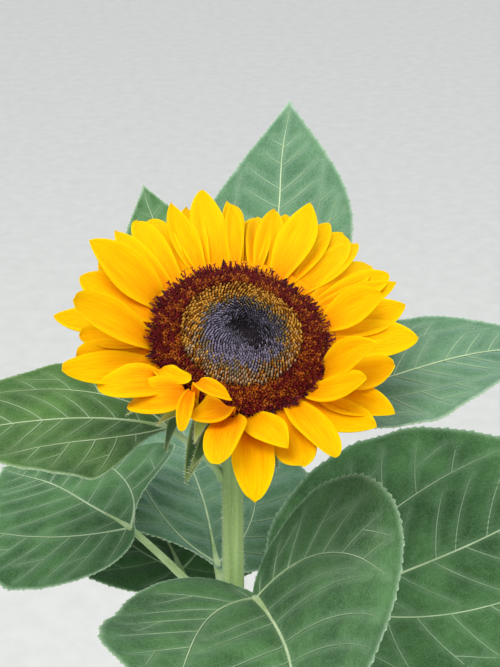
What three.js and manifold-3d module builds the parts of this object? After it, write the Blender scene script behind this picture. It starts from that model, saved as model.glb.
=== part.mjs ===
// A flowering sunflower plant, from the flat cut of its stem at ground level to its top leaf.
// Millimetres, +Z up. The origin is the centre of the cut. Leaf drops are depths below the head's centre.
import * as THREE from "three";
import { mergeVertices } from "three/addons/utils/BufferGeometryUtils.js";
import Module from "manifold-3d";

const wasm = await Module();
wasm.setup();

const GAP = 0.3;
const GOLDEN_ANGLE = 137.5;

// Flower head: where its centre is, and which way it faces
const HEAD_HEIGHT = 940;
const HEAD_CENTRE = new THREE.Vector3(4, -22, HEAD_HEIGHT);
const HEAD_FACING = new THREE.Vector3(0.08, -0.41, 0.909).normalize();
const DISC_RADIUS = 37.2;
const DISC_RIM_HEIGHT = 0;
const DISC_DOME_HEIGHT = 11;
const DISC_DIMPLE = 2.5;
const FLOOR_OF_DISC = -4.5;
const DISC_SIDES = 28;
const RING_OUTER = 43;
const RAY_ROOT_RADIUS = 39.6;
const RAY_ROOT_DEPTHS = [-1.2, -3, -2.1];
const RING_TOP = -1.6;
const RAY_THICKNESS = 1.0;
const RAY_GROOVE = 0.1;
const RECEPTACLE_DEPTH = 28;
const NECK_RADIUS = 7;

// Stem: radii at heights, a slight bow below the leaves, and the flare at the ground
const STEM_SIDES = 10;
const STEM_BOW = new THREE.Vector2(-8, 6);
const STEM_BOW_TOP = 680;
const NECK_BEND_START = 862;
const STEM_RADII = [
  [0, 16], [4, 14.2], [12, 12.4], [30, 11.2], [80, 10.6], [200, 10.2], [320, 9.7], [440, 9.0],
  [540, 8.3], [640, 7.4], [740, 6.3], [800, 5.6], [862, 5.2], [890, 5.4], [905, 6.0], [914, 6.8],
];
const STEM_RING_SPACING = 60;

// Leaves that show, from the top down. Angles in degrees, azimuth 0 along +X and 90 along +Y.
// rise and bend shape the petiole, pitch and droop the midrib, turn and sweep its heading,
// folds lift the two halves, arch lowers the edges and lobe is how far the base reaches back,
// on both sides where lobeRight isn't given.
const SEEN_LEAVES = [
  { name: "leaf_small_back_left", drop: 49, azimuth: 119, petiole: 41, rise: 37, bend: 9, turn: -3,
    pitch: 37, droop: 12, sweep: -9, length: 90, width: 56, roll: -3, foldLeft: 8, foldRight: 9,
    arch: 0.02, lobe: 0.01 },
  { name: "leaf_top_back", drop: 64, azimuth: 74.5, petiole: 56, rise: 35, bend: 10, turn: 5,
    pitch: 41, droop: 14, sweep: 5, length: 142, width: 92, roll: -16, foldLeft: 5, foldRight: 9,
    arch: 0.02, lobe: 0.03 },
  { name: "leaf_upper_right", drop: 78, azimuth: 11, petiole: 42, rise: 44, bend: 20, turn: 1,
    pitch: 21, droop: 24, sweep: -4, length: 136, width: 97, roll: -3, foldLeft: 6, foldRight: 8,
    arch: 0.03, lobe: 0.01 },
  { name: "leaf_upper_left", drop: 91, azimuth: 178, petiole: 38, rise: 57, bend: 19, turn: -3,
    pitch: 12, droop: 24, sweep: 33, length: 128, width: 105, roll: -2, foldLeft: 9, foldRight: 2,
    arch: 0.05, lobe: -0.06, lobeRight: -0.04 },
  { name: "leaf_front", drop: 170, azimuth: -78, petiole: 70, rise: 53, bend: 16, turn: 8,
    pitch: 18, droop: 8, sweep: -37, length: 164, width: 153, roll: 7, foldLeft: 44, foldRight: 13,
    arch: -0.02, lobe: 0.06, lobeRight: 0.15 },
  { name: "leaf_lower_left", drop: 192, azimuth: 145, petiole: 73, rise: 35, bend: 12, turn: -12,
    pitch: -7, droop: 18, sweep: -5, length: 153, width: 134, roll: -8, foldLeft: -3, foldRight: 1,
    arch: 0.03, lobe: 0.07, lobeRight: -0.09 },
  { name: "leaf_lower_right", drop: 205, azimuth: 15, petiole: 53, rise: 32, bend: 26, turn: 6,
    pitch: 12, droop: 2, sweep: 0, length: 205, width: 176, roll: 11, foldLeft: 9, foldRight: 5,
    arch: 0.03, lobe: 0.09 },
  { name: "leaf_lower_back", drop: 218, azimuth: 101, petiole: 54, rise: 34, bend: 14, turn: -1,
    pitch: 5, droop: 21, sweep: 2, length: 182, width: 150, roll: 3, foldLeft: 7, foldRight: 4,
    arch: 0.03, lobe: -0.07, lobeRight: 0.04 },
];
const LOWER_LEAVES = 10;
const LOWER_FIRST_DROP = 262;
const LOWER_FIRST_AZIMUTH = 118;
const LEAF_SLIMNESS = 90;
const OUTLINE_STEPS = 5;
const BLADE_RINGS = [0.55, 1];
const PETIOLE_SIDES = 5;
const STALK_LEAST = 0.8;
const STALK_SHARE = 0.011;
const PETIOLE_STEPS = 5;

// Ray florets, anticlockwise from the head's right: azimuth on the head, length and greatest width,
// rise above the head's plane, droop along the ray, sway sideways and roll about its own midline.
// A ray with a lift stands upright that far at its root and then folds over. The last lies along the rim.
const RAYS = [
  { at: 1, long: 40, wide: 21, rise: 8, droop: 5, sway: 5, roll: 0 },
  { at: 12, long: 38, wide: 20, rise: 15, droop: 12, sway: 8, roll: 0 },
  { at: 15, long: 29, wide: 19, rise: 40, droop: 8, sway: 0, roll: 0 },
  { at: 26, long: 45, wide: 14, rise: 2, droop: 25, sway: 8, roll: 0 },
  { at: 30, long: 46, wide: 16, rise: 0, droop: 12, sway: 10, roll: 0 },
  { at: 32, long: 49, wide: 16, rise: 0, droop: 27, sway: 28, roll: 0 },
  { at: 46, long: 53, wide: 16, rise: -8, droop: 11, sway: 12, roll: -8 },
  { at: 48, long: 55, wide: 19, rise: 0, droop: 23, sway: 20, roll: 0 },
  { at: 57, long: 52, wide: 14, rise: 0, droop: 20, sway: 10, roll: 0 },
  { at: 64, long: 53, wide: 19, rise: 4, droop: 18, sway: 10, roll: -5 },
  { at: 68, long: 53, wide: 11, rise: -4, droop: 22, sway: 18, roll: 0 },
  { at: 76, long: 52, wide: 14, rise: -6, droop: 12, sway: 6, roll: 0 },
  { at: 80, long: 53, wide: 13, rise: -8, droop: 24, sway: 8, roll: 0 },
  { at: 85, long: 52, wide: 15, rise: -12, droop: 12, sway: -3, roll: -6 },
  { at: 91, long: 53, wide: 10, rise: -1, droop: 22, sway: 6, roll: 0 },
  { at: 93, long: 53, wide: 10, rise: -3, droop: 20, sway: -5, roll: 0 },
  { at: 104, long: 57, wide: 19, rise: -2, droop: 10, sway: -8, roll: 4 },
  { at: 114, long: 51, wide: 15, rise: -2, droop: 20, sway: -20, roll: 0 },
  { at: 117, long: 51, wide: 14, rise: 1, droop: 20, sway: -15, roll: 0 },
  { at: 130, long: 50, wide: 17, rise: -2, droop: 15, sway: -30, roll: -5 },
  { at: 134, long: 49, wide: 15, rise: 0, droop: 13, sway: -27, roll: 0 },
  { at: 142, long: 44, wide: 13, rise: 8, droop: 14, sway: -22, roll: 0 },
  { at: 152, long: 43, wide: 22, rise: 45, droop: 14, sway: 8, roll: 0 },
  { at: 154, long: 34, wide: 20, rise: 18, droop: 8, sway: -10, roll: 0 },
  { at: 165, long: 36, wide: 20, rise: 20, droop: 4, sway: -7, roll: 0 },
  { at: 171, long: 44, wide: 19, rise: 3, droop: 26, sway: 0, roll: 5 },
  { at: 184, long: 30, wide: 14, rise: 14, droop: 11, sway: 0, roll: 0 },
  { at: 186, long: 44, wide: 20, rise: 55, droop: 25, sway: 0, roll: -8 },
  { at: 195, long: 33, wide: 20, rise: 18, droop: 8, sway: 0, roll: 0 },
  { at: 203, long: 43, wide: 20, rise: 21, droop: 2, sway: 1, roll: 6 },
  { at: 223, long: 36, wide: 18, rise: 66, droop: 113, sway: -43, roll: 0, lift: 1.5 },
  { at: 239, long: 30, wide: 19, rise: 33, droop: 86, sway: -82, roll: 2, lift: 10 },
  { at: 240, long: 22, wide: 7, rise: 19, droop: 25, sway: 31, roll: -5, lift: 12 },
  { at: 263, long: 17, wide: 16, rise: 23, droop: 70, sway: -105, roll: 14, lift: 9 },
  { at: 264, long: 51, wide: 19, rise: 47, droop: 17, sway: -3, roll: 26 },
  { at: 242, long: 22, wide: 8, rise: 62, droop: 130, sway: 138, roll: -3, lift: 19 },
  { at: 276, long: 54, wide: 18, rise: 32, droop: 20, sway: -8, roll: 4 },
  { at: 277, long: 42, wide: 16, rise: 50, droop: 18, sway: 22, roll: 12 },
  { at: 295, long: 50, wide: 18, rise: 24, droop: -14, sway: -24, roll: 15 },
  { at: 305, long: 48, wide: 18, rise: 33, droop: 6, sway: -24, roll: -12 },
  { at: 312, long: 40, wide: 19, rise: 21, droop: -10, sway: 14, roll: 5 },
  { at: 319, long: 38, wide: 17, rise: 48, droop: -8, sway: 12, roll: 7 },
  { at: 324, long: 40, wide: 19, rise: 15, droop: -18, sway: 2, roll: 0 },
  { at: 335, long: 38, wide: 17, rise: 70, droop: 20, sway: 10, roll: 20 },
  { at: 337, long: 36, wide: 19, rise: 21, droop: -30, sway: 6, roll: 0 },
  { at: 210, long: 20, wide: 10, rise: 62, droop: 116, sway: 179, roll: -5, lift: 5 },
];
const RAY_STEPS = 5;
const RAY_FOOT_DEPTH = -3.5;

// Bracts under the head: two rows round the sides and back, which point further down at the back,
// and on the front, between two azimuths, bracts set one by one
const BRACT_ROWS = [
  { count: 13, start: 30, root: 29, depth: -11, long: 37, wide: 12, rise: -4, droop: 24 },
  { count: 12, start: 43, root: 20, depth: -17, long: 39, wide: 13, rise: -16, droop: 14 },
];
const BRACT_FRONT_LIFT = 22;
const FRONT_FROM = 208;
const FRONT_TO = 330;
const FRONT_BRACTS = [
  { at: 219, root: 30, depth: -11, long: 31, wide: 8, rise: 17, droop: 18, sway: 0, roll: 0 },
  { at: 232, root: 30, depth: -11, long: 24, wide: 9, rise: 14, droop: 13, sway: -4, roll: 0 },
  { at: 227, root: 31, depth: -11, long: 38, wide: 7, rise: -47, droop: 46, sway: 5, roll: 0 },
  { at: 247, root: 30, depth: -10, long: 22, wide: 9, rise: 13, droop: 28, sway: 10, roll: 0 },
  { at: 250, root: 31, depth: -11, long: 37, wide: 14, rise: -24, droop: 41, sway: -3, roll: -12 },
  { at: 257, root: 31, depth: -11, long: 32, wide: 9, rise: 0, droop: 25, sway: -17, roll: 0 },
  { at: 272, root: 29, depth: -12, long: 27, wide: 11, rise: -14, droop: 20, sway: 4, roll: 0 },
  { at: 290, root: 29, depth: -12, long: 28, wide: 12, rise: -10, droop: 18, sway: -3, roll: 0 },
  { at: 308, root: 29, depth: -12, long: 27, wide: 11, rise: -14, droop: 20, sway: 5, roll: 0 },
];
const BRACT_THICKNESS = 1.3;
const BRACT_STEPS = 3;

const COLOURS = {
  stem: 0x9fb86a,
  leaf: 0x55804f,
  bract: 0x4d6f3a,
  ray: 0xf9c80a,
  disc: 0x5a2a20,
};

const radians = THREE.MathUtils.degToRad;
const lerp = THREE.MathUtils.lerp;
const UP = new THREE.Vector3(0, 0, 1);

// Fixed pseudo-random value from -1 to 1 for item i and trait k
function vary(i, k) {
  const wave = Math.sin(i * 12.9898 + k * 78.233) * 43758.5453;
  return 2 * (wave - Math.floor(wave)) - 1;
}

function heading(azimuth, elevation) {
  const level = Math.cos(radians(elevation));
  return new THREE.Vector3(
    level * Math.cos(radians(azimuth)),
    level * Math.sin(radians(azimuth)),
    Math.sin(radians(elevation)),
  );
}

function tableValue(table, x) {
  for (let i = 1; i < table.length; i += 1) {
    const [x0, y0] = table[i - 1];
    const [x1, y1] = table[i];
    if (x <= x1) return lerp(y0, y1, (x - x0) / (x1 - x0));
  }
  return table[table.length - 1][1];
}

// Closed skin from rows of points: row 0 and the last row are closed by fans round their middle
function skin(rings) {
  const sides = rings[0].length;
  const points = rings.flat();
  const faces = [];
  for (let i = 0; i + 1 < rings.length; i += 1) {
    for (let k = 0; k < sides; k += 1) {
      const a = i * sides + k;
      const b = i * sides + ((k + 1) % sides);
      faces.push(a, b, b + sides, a, b + sides, a + sides);
    }
  }
  const capStart = points.length;
  points.push(middle(rings[0]), middle(rings[rings.length - 1]));
  for (let k = 0; k < sides; k += 1) {
    const next = (k + 1) % sides;
    const last = (rings.length - 1) * sides;
    faces.push(capStart, next, k, capStart + 1, last + k, last + next);
  }
  return geometryOf(points, faces);
}

function middle(points) {
  const sum = new THREE.Vector3();
  for (const point of points) sum.add(point);
  return sum.divideScalar(points.length);
}

function geometryOf(points, faces) {
  const geometry = new THREE.BufferGeometry().setFromPoints(points);
  geometry.setIndex(faces);
  return geometry;
}

function solidOf(geometry) {
  const bare = geometry.clone();
  bare.deleteAttribute("normal");
  bare.deleteAttribute("uv");
  const merged = mergeVertices(bare, 1e-4);
  return new wasm.Manifold(new wasm.Mesh({
    numProp: 3,
    vertProperties: new Float32Array(merged.attributes.position.array),
    triVerts: new Uint32Array(merged.index.array),
  }));
}

function geometryFromSolid(solid) {
  const mesh = solid.getMesh();
  const geometry = new THREE.BufferGeometry();
  geometry.setAttribute("position", new THREE.BufferAttribute(new Float32Array(mesh.vertProperties), 3));
  geometry.setIndex(Array.from(mesh.triVerts));
  geometry.computeVertexNormals();
  return geometry;
}

function joined(solids) {
  return solids.reduce((sum, solid) => sum.add(solid));
}

// Tube of given radii along a path, its rings turned as little as possible
function tube(path, radii, sides) {
  const rings = path.map((point, i) => {
    const along = path[Math.min(i + 1, path.length - 1)].clone().sub(path[Math.max(i - 1, 0)]).normalize();
    const across = new THREE.Vector3(0, 1, 0).cross(along).normalize();
    if (Math.abs(along.y) > 0.9) across.crossVectors(UP, along).normalize();
    const third = along.clone().cross(across);
    return Array.from({ length: sides }, (_, k) => {
      const angle = (2 * Math.PI * k) / sides;
      return point.clone()
        .addScaledVector(across, radii[i] * Math.cos(angle))
        .addScaledVector(third, radii[i] * Math.sin(angle));
    });
  });
  return skin(rings);
}

// Stem axis: a slight bow low down, upright behind the leaves, then nodding forward into the head
function stemAxis(z) {
  const bow = z < STEM_BOW_TOP ? Math.sin((Math.PI * z) / STEM_BOW_TOP) ** 2 : 0;
  const neck = THREE.MathUtils.clamp((z - NECK_BEND_START) / (STEM_TOP.z - NECK_BEND_START), 0, 1);
  const nod = neck * neck * (1.35 - 0.35 * neck);
  return new THREE.Vector3(STEM_BOW.x * bow + STEM_TOP.x * nod, STEM_BOW.y * bow + STEM_TOP.y * nod, z);
}

const STEM_TOP = HEAD_CENTRE.clone().addScaledVector(HEAD_FACING, -RECEPTACLE_DEPTH - GAP);

function stemGeometry(extra) {
  const heights = [0, 4, 12, 30];
  while (heights[heights.length - 1] + STEM_RING_SPACING < NECK_BEND_START) {
    heights.push(heights[heights.length - 1] + STEM_RING_SPACING);
  }
  heights.push(NECK_BEND_START, 880, 893, 904, STEM_TOP.z);
  const rings = heights.map((z) => {
    const centre = stemAxis(z);
    const radius = tableValue(STEM_RADII, z) + extra;
    const tilt = THREE.MathUtils.smoothstep(z, NECK_BEND_START, STEM_TOP.z);
    const facing = UP.clone().lerp(HEAD_FACING, tilt).normalize();
    const turn = new THREE.Quaternion().setFromUnitVectors(UP, facing);
    return Array.from({ length: STEM_SIDES }, (_, k) => {
      const angle = (2 * Math.PI * k) / STEM_SIDES;
      const offset = new THREE.Vector3(Math.cos(angle), Math.sin(angle), 0).multiplyScalar(radius);
      return offset.applyQuaternion(turn).add(centre);
    });
  });
  return skin(rings);
}

// One half of a leaf's outline, from the notch behind the fork round the widest place to the tip
function halfOutline(leaf, lobe) {
  const { length, width } = leaf;
  const notch = new THREE.Vector2(-0.03 * length, 0);
  const widest = new THREE.Vector2(0.3 * length, 0.5 * width);
  const base = new THREE.CubicBezierCurve(
    notch,
    new THREE.Vector2(-2.4 * lobe * length - 0.02 * length, 0.14 * width),
    new THREE.Vector2((0.06 - 1.3 * lobe) * length, 0.5 * width),
    widest,
  );
  const front = new THREE.CubicBezierCurve(
    widest,
    new THREE.Vector2(0.54 * length, 0.5 * width),
    new THREE.Vector2(0.8 * length, 0.13 * width),
    new THREE.Vector2(length, 0),
  );
  return [...base.getPoints(OUTLINE_STEPS), ...front.getPoints(OUTLINE_STEPS).slice(1)];
}

function petiolePath(leaf) {
  const z = HEAD_HEIGHT - leaf.drop;
  const path = [stemAxis(z)];
  const inside = tableValue(STEM_RADII, z);
  path.push(path[0].clone().addScaledVector(heading(leaf.azimuth, 0), inside));
  for (let i = 0; i < PETIOLE_STEPS; i += 1) {
    const elevation = leaf.rise - (leaf.bend * (i + 0.5)) / PETIOLE_STEPS;
    const last = path[path.length - 1];
    path.push(last.clone().addScaledVector(heading(leaf.azimuth, elevation), leaf.petiole / PETIOLE_STEPS));
  }
  path.shift();
  path[0].addScaledVector(heading(leaf.azimuth, leaf.rise), -0.5 * inside);
  return path;
}

// Midrib frame at a share of the leaf's length: heading, direction to its left, and its upper side
function midribFrame(leaf, share) {
  const azimuth = leaf.azimuth + leaf.turn + leaf.sweep * Math.max(share, 0);
  const along = heading(azimuth, leaf.pitch - leaf.droop * Math.max(share, 0));
  const left = heading(azimuth + 90, 0).applyAxisAngle(along, radians(leaf.roll));
  return { along, left, above: along.clone().cross(left) };
}

function midribPoint(leaf, fork, u) {
  if (u <= 0) return fork.clone().addScaledVector(midribFrame(leaf, 0).along, u);
  const steps = 16;
  const point = fork.clone();
  for (let i = 0; i < steps; i += 1) {
    const share = ((i + 0.5) / steps) * (u / leaf.length);
    point.addScaledVector(midribFrame(leaf, share).along, u / steps);
  }
  return point;
}

// A place on the blade: u along the midrib from the fork, w to the left of it
function bladePoint(leaf, fork, u, w, depth) {
  const { left, above } = midribFrame(leaf, u / leaf.length);
  const fold = radians(w > 0 ? leaf.foldLeft : leaf.foldRight);
  const outward = Math.abs(2 * w) / leaf.width;
  const ripple = leaf.wave * Math.sin((5.5 * u) / leaf.length + Math.sign(w) + leaf.phase);
  const lift = Math.abs(w) * Math.sin(fold) + (ripple - leaf.arch * leaf.width) * outward ** 2;
  return midribPoint(leaf, fork, u)
    .addScaledVector(left, w * Math.cos(fold))
    .addScaledVector(above, lift - depth);
}

function bladeGeometry(leaf, fork) {
  const mirrored = halfOutline(leaf, leaf.lobeRight ?? leaf.lobe).slice(1, -1).reverse();
  const right = mirrored.map(({ x, y }) => new THREE.Vector2(x, -y));
  const outline = [...halfOutline(leaf, leaf.lobe), ...right];
  const thickness = leaf.length / LEAF_SLIMNESS;
  const count = outline.length;
  const points = [];
  for (const depth of [0, thickness]) {
    points.push(bladePoint(leaf, fork, 0, 0, depth));
    for (const ring of BLADE_RINGS) {
      for (const { x, y } of outline) {
        points.push(bladePoint(leaf, fork, ring * x, ring * y, depth));
      }
    }
  }
  const lower = 1 + BLADE_RINGS.length * count;
  const faces = [];
  for (let k = 0; k < count; k += 1) {
    const next = (k + 1) % count;
    faces.push(0, 1 + next, 1 + k, lower, lower + 1 + k, lower + 1 + next);
    for (let ring = 0; ring + 1 < BLADE_RINGS.length; ring += 1) {
      const a = 1 + ring * count + k;
      const b = 1 + ring * count + next;
      faces.push(a, b, b + count, a, b + count, a + count);
      faces.push(lower + a, lower + b + count, lower + b, lower + a, lower + a + count, lower + b + count);
    }
    const a = 1 + (BLADE_RINGS.length - 1) * count + k;
    const b = 1 + (BLADE_RINGS.length - 1) * count + next;
    faces.push(a, b, lower + b, a, lower + b, lower + a);
  }
  return geometryOf(points, faces);
}

function leafSolid(leaf, stemSpace) {
  const path = petiolePath(leaf);
  const fork = path[path.length - 1].clone();
  const stalk = STALK_LEAST + leaf.length * STALK_SHARE;
  const along = midribFrame(leaf, 0).along;
  const below = midribFrame(leaf, 0).above.clone().multiplyScalar(-stalk);
  path[path.length - 1].add(below);
  path.push(fork.clone().addScaledVector(along, 0.1 * leaf.length).addScaledVector(below, 0.5));
  const radii = path.map((_, i) => stalk * (i === path.length - 1 ? 0.3 : 1 - 0.04 * i));
  const petiole = solidOf(tube(path, radii, PETIOLE_SIDES));
  return petiole.add(solidOf(bladeGeometry(leaf, fork))).subtract(stemSpace);
}

// Leaves below the ones that show follow the same spiral, largest a little below them
function lowerLeaf(i) {
  const length = 204 - 1.3 * (i - 1.5) ** 2 + 6 * vary(i, 1);
  return {
    name: `leaf_below_${String(i + 1).padStart(2, "0")}`,
    drop: LOWER_FIRST_DROP + 36 * i + 2.2 * i * i,
    azimuth: LOWER_FIRST_AZIMUTH + GOLDEN_ANGLE * i + 6 * vary(i, 2),
    petiole: 0.46 * length,
    rise: 40 - 1.5 * i + 4 * vary(i, 3),
    bend: 26 + 1.5 * i,
    turn: 5 * vary(i, 4),
    pitch: 2 - 2 * i + 4 * vary(i, 5),
    droop: 34 + 1.5 * i + 5 * vary(i, 6),
    sweep: 8 * vary(i, 7),
    length,
    width: (0.84 + 0.03 * vary(i, 8)) * length,
    roll: 7 * vary(i, 9),
    foldLeft: 8 + 4 * vary(i, 10),
    foldRight: 8 + 4 * vary(i, 11),
    arch: 0.035,
    lobe: 0.085,
  };
}

function allLeaves() {
  const leaves = [...SEEN_LEAVES, ...Array.from({ length: LOWER_LEAVES }, (_, i) => lowerLeaf(i))];
  return leaves.map((leaf, i) => ({ ...leaf, wave: 0.022 * leaf.width, phase: 1.7 * i }));
}

// Head frame: +Z along the head's facing, +X level to the right, origin at its centre
function headTurn() {
  const x = new THREE.Vector3(1, 0, 0).addScaledVector(HEAD_FACING, -HEAD_FACING.x).normalize();
  const y = HEAD_FACING.clone().cross(x);
  return new THREE.Quaternion().setFromRotationMatrix(new THREE.Matrix4().makeBasis(x, y, HEAD_FACING));
}

// Strip with a groove down its middle, from a root place on the head out along its own course.
// A lifted strip first stands upright on its foot.
function stripGeometry(strip) {
  const { at, root, depth, long, rise, droop, sway, roll, lift = 0 } = strip;
  const { thickness, steps, halfWidth } = strip;
  const rings = [];
  if (lift > 0) {
    const foot = heading(at, 0).multiplyScalar(root).setZ(RAY_FOOT_DEPTH);
    rings.push(stripSection(foot, at, 90, 0, halfWidth(0), thickness));
  }
  const point = heading(at, 0).multiplyScalar(root).setZ(depth + lift);
  for (let i = 0; i <= steps; i += 1) {
    const share = i / steps;
    const azimuth = at + sway * (0.35 + 0.65 * share);
    const elevation = rise - droop * share;
    rings.push(stripSection(point, azimuth, elevation, roll, halfWidth(share), thickness));
    point.addScaledVector(heading(azimuth, elevation), long / steps);
  }
  return skin(rings);
}

function stripSection(point, azimuth, elevation, roll, reach, thickness) {
  const along = heading(azimuth, elevation);
  const left = heading(azimuth + 90, 0).applyAxisAngle(along, radians(roll));
  const above = along.clone().cross(left);
  const row = [[1, 0], [0, -2 * RAY_GROOVE], [-1, 0]];
  const top = row.map(([w, d]) => place(point, left, above, w * reach, d * reach));
  const under = row.map(([w, d]) => place(point, left, above, w * reach, d * reach - thickness));
  return [...top, ...under.reverse()];
}

function place(point, left, above, w, d) {
  return point.clone().addScaledVector(left, w).addScaledVector(above, d);
}

function rayHalfWidth(wide) {
  return (share) => {
    if (share < 0.5) return (wide / 2) * (0.36 + 0.64 * Math.sin(Math.PI * share));
    return (wide / 2) * (0.08 + 0.92 * (1 - (2 * share - 1) ** 2.2) ** 0.75);
  };
}

function bractHalfWidth(wide) {
  return (share) => (wide / 2) * (0.08 + 0.92 * (1 - share) ** 0.75 * (0.75 + 0.9 * share));
}

function raySolids() {
  return RAYS.map((ray, i) => solidOf(stripGeometry({
    ...ray,
    root: RAY_ROOT_RADIUS,
    depth: RAY_ROOT_DEPTHS[i % RAY_ROOT_DEPTHS.length],
    thickness: RAY_THICKNESS,
    steps: RAY_STEPS,
    halfWidth: rayHalfWidth(ray.wide),
  })));
}

function allBracts() {
  const inRows = BRACT_ROWS.flatMap((row, r) => Array.from({ length: row.count }, (_, i) => {
    const at = row.start + (360 * i) / row.count + 4 * vary(i, 20 + r);
    const front = 0.5 - 0.5 * Math.sin(radians(at));
    return {
      ...row,
      at,
      long: row.long * (1 + 0.08 * vary(i, 30 + r)),
      rise: row.rise + BRACT_FRONT_LIFT * front,
      sway: 10 * vary(i, 40 + r),
      roll: 6 * vary(i, 50 + r),
    };
  }));
  return [...inRows.filter(({ at }) => at < FRONT_FROM || at > FRONT_TO), ...FRONT_BRACTS];
}

function bractSolids() {
  return allBracts().map((bract) => solidOf(stripGeometry({
    ...bract,
    thickness: BRACT_THICKNESS,
    steps: BRACT_STEPS,
    halfWidth: bractHalfWidth(bract.wide),
  })));
}

function turned(profile, segments) {
  const points = profile.map(([radius, z]) => new THREE.Vector2(radius, z));
  return new THREE.LatheGeometry(points, segments).rotateX(Math.PI / 2);
}

// Dome of the disc with its shallow dimple
function domeHeight(radius) {
  const share = radius / DISC_RADIUS;
  const dome = DISC_RIM_HEIGHT + (DISC_DOME_HEIGHT - DISC_RIM_HEIGHT) * (1 - share ** 3);
  return dome - DISC_DIMPLE * Math.max(0, 1 - (share / 0.32) ** 2);
}

function discProfile(extra) {
  const shares = [1, 0.88, 0.7, 0.5, 0.32, 0.16, 0];
  const top = shares.map((share) => [share * (DISC_RADIUS + extra), domeHeight(share * DISC_RADIUS) + extra]);
  return [[0, FLOOR_OF_DISC - extra], [DISC_RADIUS + extra, FLOOR_OF_DISC - extra], ...top];
}

function discGeometry() {
  return turned(discProfile(0), DISC_SIDES);
}

function rayRingGeometry() {
  const inner = DISC_RADIUS + GAP;
  const profile = [
    [inner, FLOOR_OF_DISC],
    [RING_OUTER, FLOOR_OF_DISC],
    [RING_OUTER, RING_TOP],
    [inner, RING_TOP],
    [inner, FLOOR_OF_DISC],
  ];
  return turned(profile, DISC_SIDES);
}

function receptacleGeometry() {
  const rim = FLOOR_OF_DISC - GAP;
  return turned([
    [0, -RECEPTACLE_DEPTH],
    [NECK_RADIUS, -RECEPTACLE_DEPTH],
    [12, -26],
    [21, -21.5],
    [31, -14.5],
    [37, -8.5],
    [39.8, rim],
    [0, rim],
  ], DISC_SIDES);
}

function headMesh(name, geometry, colour) {
  const mesh = new THREE.Mesh(geometry, material(colour, 0.75));
  mesh.name = name;
  mesh.position.copy(HEAD_CENTRE);
  mesh.quaternion.copy(headTurn());
  return mesh;
}

function material(color, roughness) {
  return new THREE.MeshStandardMaterial({ color, roughness, metalness: 0 });
}

function plainMesh(name, geometry, colour) {
  const mesh = new THREE.Mesh(geometry, material(colour, 0.7));
  mesh.name = name;
  return mesh;
}

function buildPlant() {
  const plant = new THREE.Group();
  plant.add(plainMesh("stem", stemGeometry(0), COLOURS.stem));
  const stemSpace = solidOf(stemGeometry(GAP));
  for (const leaf of allLeaves()) {
    plant.add(plainMesh(leaf.name, geometryFromSolid(leafSolid(leaf, stemSpace)), COLOURS.leaf));
  }
  const involucre = joined([solidOf(receptacleGeometry()), ...bractSolids()]);
  const discSpace = solidOf(turned(discProfile(GAP), DISC_SIDES));
  const rays = joined([solidOf(rayRingGeometry()), ...raySolids()]).subtract(discSpace);
  plant.add(headMesh("involucre", geometryFromSolid(involucre), COLOURS.bract));
  plant.add(headMesh("ray_florets", geometryFromSolid(rays), COLOURS.ray));
  plant.add(headMesh("disc_florets", discGeometry(), COLOURS.disc));
  return plant;
}

const plant = buildPlant();
export default plant;
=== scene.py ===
import math

import bpy
import numpy as np
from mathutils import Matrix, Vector


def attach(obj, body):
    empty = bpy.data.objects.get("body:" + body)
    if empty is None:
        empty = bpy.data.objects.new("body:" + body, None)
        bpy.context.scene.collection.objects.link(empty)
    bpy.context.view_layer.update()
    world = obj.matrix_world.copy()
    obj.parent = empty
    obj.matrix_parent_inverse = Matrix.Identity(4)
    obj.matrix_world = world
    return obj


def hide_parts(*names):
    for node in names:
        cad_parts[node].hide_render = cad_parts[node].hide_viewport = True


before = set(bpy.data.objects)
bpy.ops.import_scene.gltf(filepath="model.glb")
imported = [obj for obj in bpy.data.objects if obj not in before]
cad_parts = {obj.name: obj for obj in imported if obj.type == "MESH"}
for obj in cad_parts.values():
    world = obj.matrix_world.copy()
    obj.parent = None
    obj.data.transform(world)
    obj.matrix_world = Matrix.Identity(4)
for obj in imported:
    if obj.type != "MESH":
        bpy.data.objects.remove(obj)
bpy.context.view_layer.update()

# Sizes are in millimetres, as in the part's source, and become metres where a mesh is made.
MM = 0.001

# Flower head
HEAD_HEIGHT = 940.0
HEAD_CENTRE = np.array([4.0, -22.0, HEAD_HEIGHT])
HEAD_FACING = np.array([0.08, -0.41, 0.909]) / np.linalg.norm([0.08, -0.41, 0.909])
HEAD_SEGMENTS = 96
DISC_RADIUS = 37.2
DISC_DOME_HEIGHT = 11.0
DISC_DIMPLE = 2.5
FLOOR_OF_DISC = -4.5
RAY_ROOT_RADIUS = 39.6
RAY_ROOT_DEPTHS = (-1.2, -3.0, -2.1)
RAY_THICKNESS = 0.5
RAY_GROOVE = 0.1
RECEPTACLE_DEPTH = 28.0
GAP = 0.3
NECK_RADIUS = 7.0

# Stem: its bow, its radii by height, and its hairs
STEM_BOW = np.array([-8.0, 6.0])
STEM_BOW_TOP = 680.0
NECK_BEND_START = 862.0
STEM_RADII = np.array([
    (0, 16), (4, 14.2), (12, 12.4), (30, 11.2), (80, 10.6), (200, 10.2), (320, 9.7), (440, 9.0),
    (540, 8.3), (640, 7.4), (740, 6.3), (800, 5.6), (862, 5.2), (890, 5.4), (905, 6.0), (914, 6.8),
])
STEM_TOP = HEAD_CENTRE - (RECEPTACLE_DEPTH + GAP) * HEAD_FACING
STEM_SIDES = 84
STEM_HAIRS = 15000
STEM_HAIR_WIDTH = 0.06

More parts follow.
